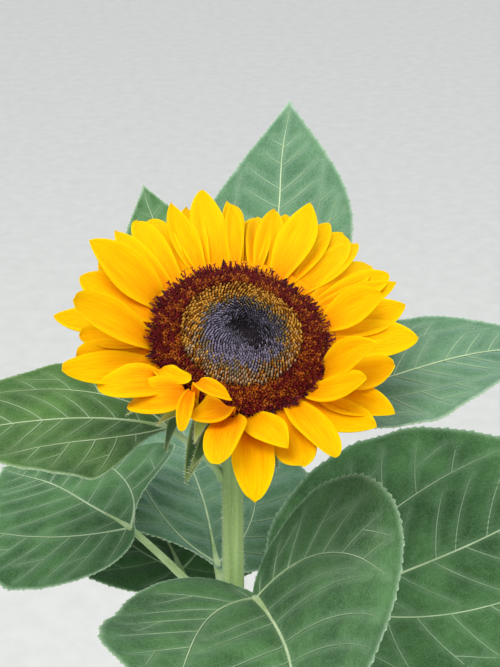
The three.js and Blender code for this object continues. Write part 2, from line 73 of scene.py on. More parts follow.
# Leaves that show, as in the part's source
LEAF_FIELDS = ("drop", "azimuth", "petiole", "rise", "bend", "turn", "pitch", "droop", "sweep", "length",
               "width", "roll", "fold_left", "fold_right", "arch", "lobe")
SEEN_LEAVES = {
    "leaf_small_back_left": (49, 119, 41, 37, 9, -3, 37, 12, -9, 90, 56, -3, 8, 9, 0.02, 0.01),
    "leaf_top_back": (64, 74.5, 56, 35, 10, 5, 41, 14, 5, 142, 92, -16, 5, 9, 0.02, 0.03),
    "leaf_upper_right": (78, 11, 42, 44, 20, 1, 21, 24, -4, 136, 97, -3, 6, 8, 0.03, 0.01),
    "leaf_upper_left": (91, 178, 38, 57, 19, -3, 12, 24, 33, 128, 105, -2, 9, 2, 0.05, -0.06),
    "leaf_front": (170, -78, 70, 53, 16, 8, 18, 8, -37, 164, 153, 7, 44, 13, -0.02, 0.06),
    "leaf_lower_left": (192, 145, 73, 35, 12, -12, -7, 18, -5, 153, 134, -8, -3, 1, 0.03, 0.07),
    "leaf_lower_right": (205, 15, 53, 32, 26, 6, 12, 2, 0, 205, 176, 11, 9, 5, 0.03, 0.09),
    "leaf_lower_back": (218, 101, 54, 34, 14, -1, 5, 21, 2, 182, 150, 3, 7, 4, 0.03, -0.07),
}
# What differs on some of them. Of the basal veins, left and right: spreads are their angles from the
# midrib, ends where they end as shares of the length and of the half width, and basal is how thick they
# are beside the midrib. frill is how wavy the blade's edge is. tint picks the blade's greens: the pale
# one's lighter, bluer greens are painted sky reflection and painted light.
LEAF_TRAITS = {
    "leaf_small_back_left": dict(basal=0.4),
    "leaf_top_back": dict(basal=0.36, tint="pale"),
    "leaf_upper_right": dict(basal=0.36, tint="pale"),
    "leaf_upper_left": dict(lobe_right=-0.04, spreads=(50, 50), tint="deep"),
    "leaf_front": dict(lobe_right=0.15, spreads=(74, 98), ends=((0.48, 0.78), (0.66, 0.62)), frill=0.3),
    "leaf_lower_left": dict(lobe_right=-0.09, spreads=(50, 54), ends=((0.62, 0.72), (0.66, 0.5))),
    "leaf_lower_back": dict(lobe_right=0.04, spreads=(50, 58), tint="pale"),
}
LOWER_LEAVES = 10
LOWER_FIRST_DROP = 262
LOWER_FIRST_AZIMUTH = 118
GOLDEN_ANGLE = 137.5
STALK_LEAST = 0.8
STALK_SHARE = 0.011
STALK_STEPS = 24
STALK_SIDES = 18
MIDRIB_STEPS = 80
BLADE_THICKNESS = 0.7
# Where side veins leave the midrib, as shares of its length, and how thick they are beside it
MIDRIB_BRANCHES = [(0.09, 0.24), (0.18, 0.28), (0.29, 0.46), (0.38, 0.30), (0.48, 0.42), (0.57, 0.36),
                   (0.67, 0.34), (0.76, 0.30), (0.85, 0.26)]
# The same for the basal veins, by step along them
BASAL_BRANCHES = [(1, 0.40), (5, 0.46), (9, 0.42), (13, 0.38), (17, 0.36), (21, 0.32), (25, 0.28), (28, 0.26)]
NOTCH_STEPS = 32
FRONT_STEPS = 36
BLADE_RINGS = 26
BLADE_MIDDLE = 0.2
TOOTH_DEPTH = 1.5
TOOTH_PITCH = 4.5
PUCKER = 2.3
PUCKER_REACH = 5.5
VEIN_GLOW_REACH = 3.0
MAIN_VEIN = 0.6
VEIN_RISE = 0.3
STALK_HAIRS = 450
EDGE_HAIRS = 350
LEAF_HAIR_WIDTH = 0.045

# Ray florets, anticlockwise from the head's right, as in the part's source: azimuth on the head,
# length, greatest width, rise, droop, sway, roll, and the lift of one that first stands upright
RAYS = [
    (1, 40, 21, 8, 5, 5, 0), (12, 38, 20, 15, 12, 8, 0), (15, 29, 19, 40, 8, 0, 0),
    (26, 45, 14, 2, 25, 8, 0), (30, 46, 16, 0, 12, 10, 0), (32, 49, 16, 0, 27, 28, 0),
    (46, 53, 16, -8, 11, 12, -8), (48, 55, 19, 0, 23, 20, 0), (57, 52, 14, 0, 20, 10, 0),
    (64, 53, 19, 4, 18, 10, -5), (68, 53, 11, -4, 22, 18, 0), (76, 52, 14, -6, 12, 6, 0),
    (80, 53, 13, -8, 24, 8, 0), (85, 52, 15, -12, 12, -3, -6), (91, 53, 10, -1, 22, 6, 0),
    (93, 53, 10, -3, 20, -5, 0), (104, 57, 19, -2, 10, -8, 4), (114, 51, 15, -2, 20, -20, 0),
    (117, 51, 14, 1, 20, -15, 0), (130, 50, 17, -2, 15, -30, -5), (134, 49, 15, 0, 13, -27, 0),
    (142, 44, 13, 8, 14, -22, 0), (152, 43, 22, 45, 14, 8, 0), (154, 34, 20, 18, 8, -10, 0),
    (165, 36, 20, 20, 4, -7, 0), (171, 44, 19, 3, 26, 0, 5), (184, 30, 14, 14, 11, 0, 0),
    (186, 44, 20, 55, 25, 0, -8), (195, 33, 20, 18, 8, 0, 0), (203, 43, 20, 21, 2, 1, 6),
    (223, 36, 18, 66, 113, -43, 0, 1.5), (239, 30, 19, 33, 86, -82, 2, 10),
    (240, 22, 7, 19, 25, 31, -5, 12), (263, 17, 16, 23, 70, -105, 14, 9), (264, 51, 19, 47, 17, -3, 26),
    (242, 22, 8, 62, 130, 138, -3, 19),
    (276, 54, 18, 32, 20, -8, 4), (277, 42, 16, 50, 18, 22, 12), (295, 50, 18, 24, -14, -24, 15),
    (305, 48, 18, 33, 6, -24, -12), (312, 40, 19, 21, -10, 14, 5), (319, 38, 17, 48, -8, 12, 7),
    (324, 40, 19, 15, -18, 2, 0), (335, 38, 17, 70, 20, 10, 20), (337, 36, 19, 21, -30, 6, 0),
    (210, 20, 10, 62, 116, 179, -5, 5),
]
RAY_FOOT_DEPTH = -3.5
RAY_FOOT_INSET = 1.5
RAY_STEPS = 34
RAY_ACROSS = 15
RAY_RIDGE = 0.30
RAY_TAIL = 0.03
BLUNT_FROM = 183
BLUNT_TO = 270
# Azimuths between which rays take the painted-shade petal colours below
SHADED_PETALS_FROM = 220
SHADED_PETALS_TO = 265
# Petal colours from root to tip. The orange root is partly the petal's own colour and partly painted shade;
# the second, more orange set is painted shade for the shaded, lifted rays of the lower left.
PETAL_TONES = ((0.0, "e46000"), (0.11, "f48200"), (0.28, "faa200"), (0.55, "fab600"), (1.0, "fac200"))
SHADED_PETAL_TONES = ((0.0, "dc5000"), (0.25, "f07400"), (0.55, "f99600"), (0.8, "fbb000"), (1.0, "fcbe00"))
SKIRT_INNER = 37.4
SKIRT_OUTER = 44.5
SKIRT_SHARE = 0.2
NARROW_RAY = 15
NARROW_CREASE = 0.12

# Bracts under the head, as in the part's source. Each row: count, first azimuth, root radius, depth,
# length, width, rise and droop. Those on the front are given one by one: azimuth, root radius, depth,
# length, width, rise, droop, sway and roll.
BRACT_ROWS = [(13, 30, 29, -11, 37, 12, -4, 24), (12, 43, 20, -17, 39, 13, -16, 14)]
BRACT_FRONT_LIFT = 22
BRACT_STEPS = 26
BRACT_ACROSS = 10
BRACT_THICKNESS = 0.6
BRACT_EDGE_HAIRS = 260
BRACT_BACK_HAIRS = 240
BRACT_HAIR_WIDTH = 0.055
FRONT_FROM = 208
FRONT_TO = 330
# Front bracts at these azimuths take a much lighter bract colour: partly their own paler colour, partly
# painted light against the petals' shade over them.
PALE_BRACTS_PAINTED_LIGHT = (219, 232, 247)
FRONT_BRACTS = [
    (219, 30, -11, 31, 8, 17, 18, 0, 0), (232, 30, -11, 24, 9, 14, 13, -4, 0),
    (227, 31, -11, 38, 7, -47, 46, 5, 0), (247, 30, -10, 22, 9, 13, 28, 10, 0),
    (250, 31, -11, 37, 14, -24, 41, -3, -12), (257, 31, -11, 32, 9, 0, 25, -17, 0),
    (272, 29, -12, 27, 11, -14, 20, 4, 0), (290, 29, -12, 28, 12, -10, 18, -3, 0),
    (308, 29, -12, 27, 11, -14, 20, 5, 0),
]

# Disc florets: how many there are, how they crowd towards the middle, and where each zone ends
# as a share of the disc's radius. The disc is less wide on its upper right.
FLORETS = 2900
FLORET_SPREAD = 37.6
FLORET_CROWDING = 0.68
FLORET_ANGLE = 137.508
NARROW_SIDE = 52
NARROW_BY = 0.075
DRIFT_RIGHT = 2.3
DRIFT_DOWN = 2.8
DRIFT_DOWN_OUT = 1.0
CORE_END = 0.19
CORE_LENGTHWISE = math.radians(130)
GREY_END = 0.48
GOLD_END = 0.705
GOLD_END_LEFT = 0.04
CHAFF_FROM = 0.64
FRINGE = 260
LONG_SCALES = 30
RIM_STYLES = 260

# Camera of the photograph
CAMERA_PLACE = (8.7, -461.2, HEAD_HEIGHT + 255.3)
CAMERA_PITCH = 30.0
CAMERA_LENS = 62.8
SENSOR = 36.0

FULL_TURN = 6.28
UP = np.array([0.0, 0.0, 1.0])
rng = np.random.default_rng(11)


def vary(i, k):
    """Fixed pseudo-random value from -1 to 1 for item i and trait k, as in the part's source."""
    wave = math.sin(i * 12.9898 + k * 78.233) * 43758.5453
    return 2 * (wave - math.floor(wave)) - 1


def tone(code):
    """A screen colour, written as six hexadecimal digits, as linear RGBA."""
    shares = [int(code[i:i + 2], 16) / 255 for i in (0, 2, 4)]
    return [s / 12.92 if s <= 0.04045 else ((s + 0.055) / 1.055) ** 2.4 for s in shares] + [1.0]


def heading(azimuth, elevation):
    """Unit vectors from angles in degrees, which may be arrays."""
    a = np.radians(np.asarray(azimuth, float))
    e = np.radians(np.asarray(elevation, float))
    return np.stack([np.cos(e) * np.cos(a), np.cos(e) * np.sin(a), np.sin(e) + 0 * a], axis=-1)


def unit(v):
    return v / np.maximum(np.linalg.norm(v, axis=-1, keepdims=True), 1e-9)


def rolled(left, above, degrees):
    """Left and upper directions after a roll about the way that they run along."""
    c, s = np.cos(np.radians(degrees)), np.sin(np.radians(degrees))
    return left * c + above * s, above * c - left * s


def walked(start, moves):
    """The path from a start through a row of moves."""
    return np.concatenate([[start], start + np.cumsum(moves, axis=0)])


def middles(steps):
    """Shares at the middle of each step."""
    return (np.arange(steps) + 0.5) / steps


def circle(sides):
    return 2 * np.pi * np.arange(sides) / sides


def bezier(p0, p1, p2, p3, steps):
    t = np.linspace(0, 1, steps + 1)[:, None]
    p0, p1, p2, p3 = (np.array(p, float) for p in (p0, p1, p2, p3))
    return (1 - t) ** 3 * p0 + 3 * (1 - t) ** 2 * t * p1 + 3 * (1 - t) * t * t * p2 + t ** 3 * p3


class Skin:
    """Points and triangles gathered from several shapes, each with a material number."""

    def __init__(self):
        self.points, self.faces, self.slots, self.uv, self.values = [], [], [], [], []
        self.count = 0

    def add(self, points, faces, slot=0, uv=None, value=None):
        points = np.asarray(points, float).reshape(-1, 3)
        faces = np.asarray(faces, int).reshape(-1, 3)
        self.points.append(points)
        self.faces.append(faces + self.count)
        self.slots.append(np.broadcast_to(slot, len(faces)))
        self.uv.append(np.zeros((len(points), 2)) if uv is None else np.asarray(uv, float).reshape(-1, 2))
        self.values.append(np.zeros(len(points)) if value is None else np.ravel(value))
        self.count += len(points)

    def piece(self, name, materials, slot, *nodes, crease=45):
        """One visible piece of all that was added, which rides on the root and stands for the nodes."""
        points = np.concatenate(self.points) * MM
        faces = np.concatenate(self.faces).astype(np.int32)
        mesh = bpy.data.meshes.new(name)
        mesh.vertices.add(len(points))
        mesh.vertices.foreach_set("co", points.astype(np.float32).ravel())
        mesh.loops.add(faces.size)
        mesh.loops.foreach_set("vertex_index", faces.ravel())
        mesh.polygons.add(len(faces))
        mesh.polygons.foreach_set("loop_start", np.arange(0, faces.size, 3, dtype=np.int32))
        mesh.polygons.foreach_set("material_index", np.concatenate(self.slots).astype(np.int32))
        mesh.update(calc_edges=True)
        uv = mesh.uv_layers.new(name="place")
        uv.data.foreach_set("uv", np.concatenate(self.uv)[faces.ravel()].astype(np.float32).ravel())
        value = mesh.attributes.new("mark", "FLOAT", "POINT")
        value.data.foreach_set("value", np.concatenate(self.values).astype(np.float32))
        mesh.polygons.foreach_set("use_smooth", np.ones(len(faces), dtype=bool))
        mesh.set_sharp_from_angle(angle=math.radians(crease))
        for material in materials:
            mesh.materials.append(material)
        mesh.validate()
        made = bpy.data.objects.new(name, mesh)
        bpy.context.scene.collection.objects.link(made)
        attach(made, "root")
        if nodes:
            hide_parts(*nodes)


def single(shape, name, material, slot, *nodes, crease=45, uv=None, value=None):
    """A piece of one shape and one material."""
    skin = Skin()
    skin.add(*shape, uv=uv, value=value)
    skin.piece(name, [material], slot, *nodes, crease=crease)


def grid_faces(rows, columns, closed):
    """Triangles of a grid of points, row by row, whose columns may close on themselves."""
    last = columns if closed else columns - 1
    i, k = np.meshgrid(np.arange(rows - 1), np.arange(last), indexing="ij")
    a = i * columns + k
    b = i * columns + (k + 1) % columns
    c, d = b + columns, a + columns
    return np.concatenate([np.stack([a, b, c], -1).reshape(-1, 3), np.stack([a, c, d], -1).reshape(-1, 3)])


def cap_faces(start, count, centre, flip):
    k = np.arange(count)
    a, b = start + k, start + (k + 1) % count
    c = np.full(count, centre)
    return np.stack([c, b, a] if flip else [c, a, b], -1)


def tube(path, radii, sides, upper, flat=1.0):
    """Closed tube along a path; upper is the direction that each ring's top faces."""
    path = np.asarray(path, float)
    radii = np.broadcast_to(radii, len(path))
    along = unit(np.gradient(path, axis=0))
    side = unit(np.cross(along, upper))
    top = np.cross(side, along)
    angle = circle(sides)
    ring = side[:, None] * np.cos(angle)[None, :, None] + flat * top[:, None] * np.sin(angle)[None, :, None]
    points = path[:, None] + ring * radii[:, None, None]
    count = len(path) * sides
    points = np.concatenate([points.reshape(-1, 3), path[:1], path[-1:]])
    faces = np.concatenate([
        grid_faces(len(path), sides, True)[:, ::-1],
        cap_faces(0, sides, count, False),
        cap_faces(count - sides, sides, count + 1, True),
    ])
    return points, faces


def copies(points, faces, origins, frames, scales):
    """One template at many places: frames are 3 by 3 with the axes as columns."""
    placed = np.einsum("nij,pj->npi", frames, points) * scales[:, None, None] + origins[:, None]
    joined = faces[None] + (np.arange(len(origins)) * len(points))[:, None, None]
    return placed.reshape(-1, 3), joined.reshape(-1, 3)


def frames_from(normal):
    """Frames whose third axis is the normal, turned about it at random."""
    spin = rng.uniform(0, FULL_TURN, len(normal))
    helper = np.where(np.abs(normal[:, 2:]) < 0.9, [[0.0, 0.0, 1.0]], [[1.0, 0.0, 0.0]])
    x = unit(np.cross(helper, normal))
    y = np.cross(normal, x)
    c, s = np.cos(spin)[:, None], np.sin(spin)[:, None]
    return np.stack([x * c + y * s, y * c - x * s, normal], axis=-1)


# Materials

class Shader:
    """A procedural material: its nodes, and short calls that add to them."""

    def __init__(self, name, **inputs):
        self.material = bpy.data.materials.new(name)
        self.material.use_nodes = True
        self.nodes = self.material.node_tree.nodes
        self.links = self.material.node_tree.links
        self.surface = self.nodes["Principled BSDF"]
        self.feed(self.surface, inputs)

    def feed(self, node, inputs):
        """Link or set a node's inputs, by name or number. A string is a screen colour."""
        for key, value in inputs.items():
            socket = node.inputs[key.replace("_", " ") if isinstance(key, str) else key]
            if isinstance(value, bpy.types.NodeSocket):
                self.links.new(value, socket)
            else:
                socket.default_value = tone(value) if isinstance(value, str) else value

    def node(self, kind, **inputs):
        made = self.nodes.new("ShaderNode" + kind)
        self.feed(made, inputs)
        return made

    def place(self):
        made = self.node("UVMap")
        made.uv_map = "place"
        return made.outputs["UV"]

    def solid_place(self):
        return self.node("TexCoord").outputs["Object"]

    def mark(self):
        made = self.node("Attribute")
        made.attribute_name = "mark"
        return made.outputs["Fac"]

    def stretched(self, vector, scale):
        return self.node("Mapping", Vector=vector, Scale=scale).outputs["Vector"]

    def noise(self, vector, scale, detail=3.0, rough=0.55):
        made = self.node("TexNoise", Vector=vector, Scale=scale, Detail=detail, Roughness=rough)
        return made.outputs["Fac"]

    def net(self, vector, scale):
        made = self.node("TexVoronoi", Scale=scale, Randomness=0.9)
        made.feature = "DISTANCE_TO_EDGE"
        self.feed(made, {"Vector": vector})
        return made.outputs["Distance"]

    def ramp(self, factor, *stops):
        """Screen colours, or levels of grey, at shares of a factor."""
        made = self.node("ValToRGB", Fac=factor)
        elements = made.color_ramp.elements
        while len(elements) < len(stops):
            elements.new(0.5)
        for element, (position, colour) in zip(elements, stops):
            element.position = position
            element.color = tone(colour) if isinstance(colour, str) else [colour, colour, colour, 1.0]
        return made.outputs["Color"]

    def mix(self, factor, first, second):
        made = self.node("Mix")
        made.data_type = "RGBA"
        made.clamp_factor = True
        self.feed(made, {0: factor, 6: first, 7: second})
        return made.outputs[2]

    def math(self, operation, first, second=0.0):
        made = self.node("Math")
        made.operation = operation
        self.feed(made, {0: first, 1: second})
        return made.outputs[0]

    def finished(self, colour, height, distance, strength):
        """The material, with its colour and with relief whose depth is in millimetres."""
        relief = self.node("Bump", Height=height, Distance=distance * MM, Strength=strength)
        self.feed(self.surface, {"Base Color": colour, "Normal": relief.outputs["Normal"]})
        return self.material


def leaf_material(name, dark, light, vein, sheen):
    """Blade: two greens in soft patches, mottled by short hairs, with a sunken net of fine veinlets."""
    shader = Shader(name, Roughness=0.7, Specular_IOR_Level=0.12, Sheen_Weight=sheen,
                    Sheen_Tint=(0.72, 0.88, 1.0, 1.0))
    place = shader.place()
    body = shader.ramp(shader.noise(place, 2.6, 5.0, 0.6), (0.32, dark), (0.68, light))
    net = shader.net(place, 24.0)
    body = shader.mix(shader.ramp(net, (0.0, 0.10), (0.06, 0.0)), body, vein)
    glow = shader.ramp(shader.mark(), (0.12, 0.0), (0.5, 0.18), (1.0, 0.75))
    body = shader.mix(glow, body, vein)
    speck = shader.noise(place, 120.0, 3.0, 0.7)
    body = shader.mix(shader.ramp(speck, (0.45, 0.0), (0.8, 0.28)), body, vein)
    cells = shader.math("MULTIPLY", shader.ramp(net, (0.0, 0.0), (0.2, 1.0)), 0.7)
    return shader.finished(body, shader.math("ADD", cells, speck), 0.35, 0.8)


def tissue_material(name, dark, light, scale=60.0, relief=0.15, stretch=(1, 1, 1)):
    """Soft two-tone plant tissue with a fine grain, for stems, veins and hairs."""
    shader = Shader(name, Roughness=0.6, Specular_IOR_Level=0.35, Sheen_Weight=0.2)
    grain = shader.noise(shader.stretched(shader.solid_place(), stretch), scale, 4.0)
    return shader.finished(shader.ramp(grain, (0.32, dark), (0.68, light)), grain, relief, 0.7)


def bract_material(name, dark, light, edge):
    """Bract: hairy green with fine lengthwise veins, paler towards its edges and its drawn-out tip."""
    shader = Shader(name, Roughness=0.62, Specular_IOR_Level=0.2, Sheen_Weight=0.15)
    grain = shader.noise(shader.stretched(shader.place(), (3.0, 9.0, 1.0)), 4.0, 4.0)
    body = shader.ramp(grain, (0.34, dark), (0.68, light))
    glow = shader.ramp(shader.mark(), (0.15, 0.0), (1.0, 0.75))
    return shader.finished(shader.mix(glow, body, edge), grain, 0.25, 0.7)


def ray_material(name, tones):
    """Petal: orange at the root to golden yellow, the orange partly the petal's own colour and partly painted
    shade, with fine lengthwise streaks and a painted highlight along its edges. place is (along, across).
    """
    shader = Shader(name, Roughness=0.62, Specular_IOR_Level=0.04, Subsurface_Weight=0.4,
                    Subsurface_Radius=(1.0, 0.6, 0.06), Subsurface_Scale=2 * MM)
    place = shader.place()
    apart = shader.node("SeparateXYZ", Vector=place)
    along = shader.ramp(apart.outputs[0], *tones)
    streaks = shader.noise(shader.stretched(place, (1.2, 7.0, 1.0)), 2.2, 4.0)
    tint = shader.ramp(streaks, (0.36, "f29000"), (0.64, "ffc800"))
    # painted highlight: the petal's edges are lightened towards pale yellow
    rim = shader.ramp(shader.math("ABSOLUTE", apart.outputs[1]), (0.55, 0.0), (1.0, 0.5))
    body = shader.mix(rim, shader.mix(0.4, along, tint), "ffd000")
    fine = shader.noise(shader.stretched(place, (1.0, 22.0, 1.0)), 3.0, 3.0)
    return shader.finished(body, fine, 0.3, 0.8)


def floret_material(name, dark, light):
    shader = Shader(name, Roughness=0.6, Specular_IOR_Level=0.12)
    grain = shader.noise(shader.solid_place(), 900.0, 2.0)
    return shader.finished(shader.ramp(grain, (0.3, dark), (0.7, light)), grain, 0.08, 0.5)


def floor_material():
    shader = Shader("pale_floor", Roughness=0.85, Specular_IOR_Level=0.1)
    grain = shader.noise(shader.solid_place(), 30.0)
    return shader.finished(shader.ramp(grain, (0.3, "d9d8d4"), (0.7, "e0dfdb")), grain, 0.3, 0.1)


# Stem

def stem_axis(z):
    z = np.asarray(z, float)
    bow = np.where(z < STEM_BOW_TOP, np.sin(np.pi * z / STEM_BOW_TOP) ** 2, 0.0)
    neck = np.clip((z - NECK_BEND_START) / (STEM_TOP[2] - NECK_BEND_START), 0, 1)
    nod = neck * neck * (1.35 - 0.35 * neck)
    x, y = (STEM_BOW[k] * bow + STEM_TOP[k] * nod for k in (0, 1))
    return np.stack([x, y, z], axis=-1)


def stem_radius(z):
    return np.interp(z, STEM_RADII[:, 0], STEM_RADII[:, 1])


def stem_surface(z, angle):
    """Points and outward directions on the ribbed stem; angle in radians."""
    tilt = np.clip((z - NECK_BEND_START) / (STEM_TOP[2] - NECK_BEND_START), 0, 1)
    tilt = (tilt * tilt * (3 - 2 * tilt))[..., None]
    facing = unit(UP * (1 - tilt) + HEAD_FACING * tilt)
    x = unit(np.array([1.0, 0.0, 0.0]) - facing * facing[..., :1])
    y = np.cross(facing, x)
    out = x * np.cos(angle)[..., None] + y * np.sin(angle)[..., None]
    ribs = 0.16 * np.cos(9 * angle + 0.004 * z) + 0.10 * np.cos(23 * angle - 0.01 * z)
    radius = stem_radius(z) - 0.2 + ribs * np.clip(stem_radius(z) / 8, 0.6, 1.6)
    return stem_axis(z) + out * radius[..., None], out


def stem_piece(material):
    heights = np.concatenate([np.linspace(0, 40, 24), np.linspace(44, NECK_BEND_START, 230),
                              np.linspace(NECK_BEND_START + 2, STEM_TOP[2], 34)])
    z, a = np.meshgrid(heights, circle(STEM_SIDES), indexing="ij")
    points, _ = stem_surface(z, a)
    points[0, :, 2] = 0
    count = len(heights) * STEM_SIDES
    faces = np.concatenate([
        grid_faces(len(heights), STEM_SIDES, True),
        cap_faces(0, STEM_SIDES, count, True),
        cap_faces(count - STEM_SIDES, STEM_SIDES, count + 1, False),
    ])
    points = np.concatenate([points.reshape(-1, 3), stem_axis(heights[:1]), stem_axis(heights[-1:])])
    single((points, faces), "stem_ribbed", material, "stem", "stem")


def hairs(roots, directions, lengths, width):
    """Many thin three-sided hairs as one array of points and faces."""
    angle = circle(3)
    points = np.concatenate([np.stack([np.cos(angle), np.sin(angle), 0 * angle], -1), [UP]])
    frames = frames_from(unit(directions))
    frames[:, :, :2] *= (width / lengths)[:, None, None]
    return copies(points, np.array([[0, 1, 3], [1, 2, 3], [2, 0, 3]]), roots, frames, lengths)


def stem_hair_piece(material):
    z = 4 + (STEM_TOP[2] - 6) * rng.uniform(0, 1, STEM_HAIRS) ** 0.6
    roots, out = stem_surface(z, rng.uniform(0, 2 * np.pi, STEM_HAIRS))
    wild = rng.normal(0, 0.35, (STEM_HAIRS, 3)) + 0.1 * UP
    lengths = 0.6 + 1.9 * rng.uniform(0, 1, STEM_HAIRS) ** 2
    single(hairs(roots - 0.1 * out, out + wild, lengths, STEM_HAIR_WIDTH), "stem_hairs", material, "stem")


# Leaves

def lower_leaf(i):
    """Traits of a leaf below those that show, in the order of LEAF_FIELDS."""
    length = 204 - 1.3 * (i - 1.5) ** 2 + 6 * vary(i, 1)
    drop = LOWER_FIRST_DROP + 36 * i + 2.2 * i * i
    azimuth = LOWER_FIRST_AZIMUTH + GOLDEN_ANGLE * i + 6 * vary(i, 2)
    stalk = (0.46 * length, 40 - 1.5 * i + 4 * vary(i, 3), 26 + 1.5 * i)
    path = (5 * vary(i, 4), 2 - 2 * i + 4 * vary(i, 5), 34 + 1.5 * i + 5 * vary(i, 6), 8 * vary(i, 7))
    blade = (length, (0.84 + 0.03 * vary(i, 8)) * length, 7 * vary(i, 9))
    return (drop, azimuth, *stalk, *path, *blade, 8 + 4 * vary(i, 10), 8 + 4 * vary(i, 11), 0.035, 0.085)


def all_leaves():
    lower = {"leaf_below_%02d" % (i + 1): lower_leaf(i) for i in range(LOWER_LEAVES)}
    leaves = []
    for i, (name, row) in enumerate({**SEEN_LEAVES, **lower}.items()):
        leaf = dict(zip(LEAF_FIELDS, row), name=name, index=i, phase=1.7 * i, spreads=(58, 58),
                    ends=((0.66, 0.52), (0.66, 0.52)), basal=0.66, frill=1, tint="mid")
        leaf["wave"] = 0.022 * leaf["width"]
        leaf["lobe_right"] = leaf["lobe"]
        leaves.append({**leaf, **LEAF_TRAITS.get(name, {})})
    return leaves


class Leaf:
    """One leaf's shape: its stalk's path, its blade's surface, and its veins on the flat blade."""

    def __init__(self, traits):
        self.__dict__.update(traits)
        z = HEAD_HEIGHT - self.drop
        start = stem_axis(z) + stem_radius(z) * heading(self.azimuth, 0)
        way = heading(np.full(STALK_STEPS, self.azimuth), self.rise - self.bend * middles(STALK_STEPS))
        self.stalk_path = walked(start, way * self.petiole / STALK_STEPS)
        self.fork = self.stalk_path[-1]
        self.stalk = STALK_LEAST + STALK_SHARE * self.length
        self.middle = np.array([BLADE_MIDDLE * self.length, 0.0])
        self.midrib = walked(self.fork, self.axes(middles(MIDRIB_STEPS))[0] * self.length / MIDRIB_STEPS)
        self.outline = self.make_outline()
        self.veins = self.make_veins()

    def axes(self, share):
        """Along, left and above at shares of the midrib's length."""
        share = np.maximum(share, 0)
        azimuth = self.azimuth + self.turn + self.sweep * share
        along = heading(azimuth, self.pitch - self.droop * share)
        left = heading(azimuth + 90, 0 * share)
        return along, *rolled(left, np.cross(along, left), self.roll)

    def surface(self, u, w, lower=0.0, detail=0.0):
        """Points of the blade and its upper direction there, for places (u, w) on the flat blade."""
        u, w = np.asarray(u, float), np.asarray(w, float)
        share = u / self.length
        along, left, above = self.axes(share)
        known = np.linspace(0, 1, len(self.midrib))
        base = np.stack([np.interp(share, known, self.midrib[:, k]) for k in range(3)], -1)
        behind = self.axes(np.zeros(1))[0][0]
        base = np.where((u <= 0)[..., None], self.fork + u[..., None] * behind, base)
        fold = np.radians(np.where(w > 0, self.fold_left, self.fold_right))
        outward = np.abs(2 * w) / self.width
        ripple = self.wave * np.sin(5.5 * share + np.sign(w) + self.phase)
        lift = np.abs(w) * np.sin(fold) + (ripple - self.arch * self.width) * outward ** 2
        turn = 2.4 * np.sign(w) + 2.1 * self.phase
        frill = 0.010 * np.sin(17 * share + turn) + 0.005 * np.sin(38 * share + 2 * turn)
        lift = lift + self.frill * frill * self.width * outward ** 3 + detail - lower
        return base + left * (w * np.cos(fold))[..., None] + above * lift[..., None], above

    def half_outline(self, lobe):
        length, half = self.length, 0.5 * self.width
        notch = (-0.03 * length, 0.0)
        widest = (0.3 * length, half)
        behind = (-2.4 * lobe * length - 0.02 * length, 0.14 * self.width)
        base = bezier(notch, behind, ((0.06 - 1.3 * lobe) * length, half), widest, NOTCH_STEPS)
        ahead = (0.8 * length, 0.13 * self.width)
        front = bezier(widest, (0.54 * length, half), ahead, (length, 0.0), FRONT_STEPS)
        return np.concatenate([base, front[1:]])

    def make_outline(self):
        right = self.half_outline(self.lobe_right)[-2:0:-1] * [1, -1]
        return np.concatenate([self.half_outline(self.lobe), right])

    def reach(self, u, w):
        """How far out a place is, as a share of the outline's distance from the blade's middle that way."""
        u = u - self.middle[0]
        rim = self.outline - self.middle
        rim_angle = np.arctan2(rim[:, 1], rim[:, 0])
        order = np.argsort(rim_angle)
        edge = np.interp(np.arctan2(w, u), rim_angle[order], np.hypot(*rim.T)[order], period=2 * np.pi)
        return np.hypot(u, w) / np.maximum(edge, 1e-6)

    def grown(self, start, angle, bend, basal=None):
        """A vein that grows from a place at an angle, bending, until it nears the edge or the basal vein."""
        step = self.length / 48
        place, turn, path = np.array(start, float), angle, [np.array(start, float)]
        while len(path) < 40:
            place = place + step * np.array([math.cos(turn), math.sin(turn)])
            turn += bend * step
            if self.reach(*place) > 0.93:
                break
            if basal is not None and place[0] < basal[-1, 0]:
                if abs(place[1]) > 0.92 * abs(np.interp(place[0], basal[:, 0], basal[:, 1])):
                    break
            path.append(place)
        return np.array(path)

    def midrib_sway(self, share):
        """How far the midrib strays sideways from a straight line, more towards the tip."""
        return 0.011 * self.length * np.sin(9 * share + 1.3 * self.index) * np.clip(share, 0, 1) ** 0.7

    def midrib_branches(self, side, basal):
        for n, (share, width) in enumerate(MIDRIB_BRANCHES):
            share += 0.02 * vary(n + side, 60 + self.index)
            angle = side * math.radians(68 - 22 * share + 4 * vary(n + side, 61 + self.index))
            start = (share * self.length, self.midrib_sway(share))
            yield self.grown(start, angle, -side * 1.3 / self.length, basal=basal), width

    def basal_branches(self, side, basal):
        """Veins that leave the basal vein outwards, every other one with a short fork."""
        for n, (at, width) in enumerate(BASAL_BRANCHES):
            ahead = basal[at + 1] - basal[at]
            lean = 74 - 3.5 * n + 4 * vary(n + side, 62 + self.index)
            angle = math.atan2(ahead[1], ahead[0]) + side * math.radians(lean)
            path = self.grown(basal[at], angle, -side * 1.7 / self.length)
            yield path, width
            if n % 2 and len(path) > 6:
                half = len(path) // 2
                fork = path[half] - path[half - 1]
                angle = math.atan2(fork[1], fork[0]) - side * 0.8
                yield self.grown(path[half], angle, side * 0.3 / self.length)[:7], 0.22

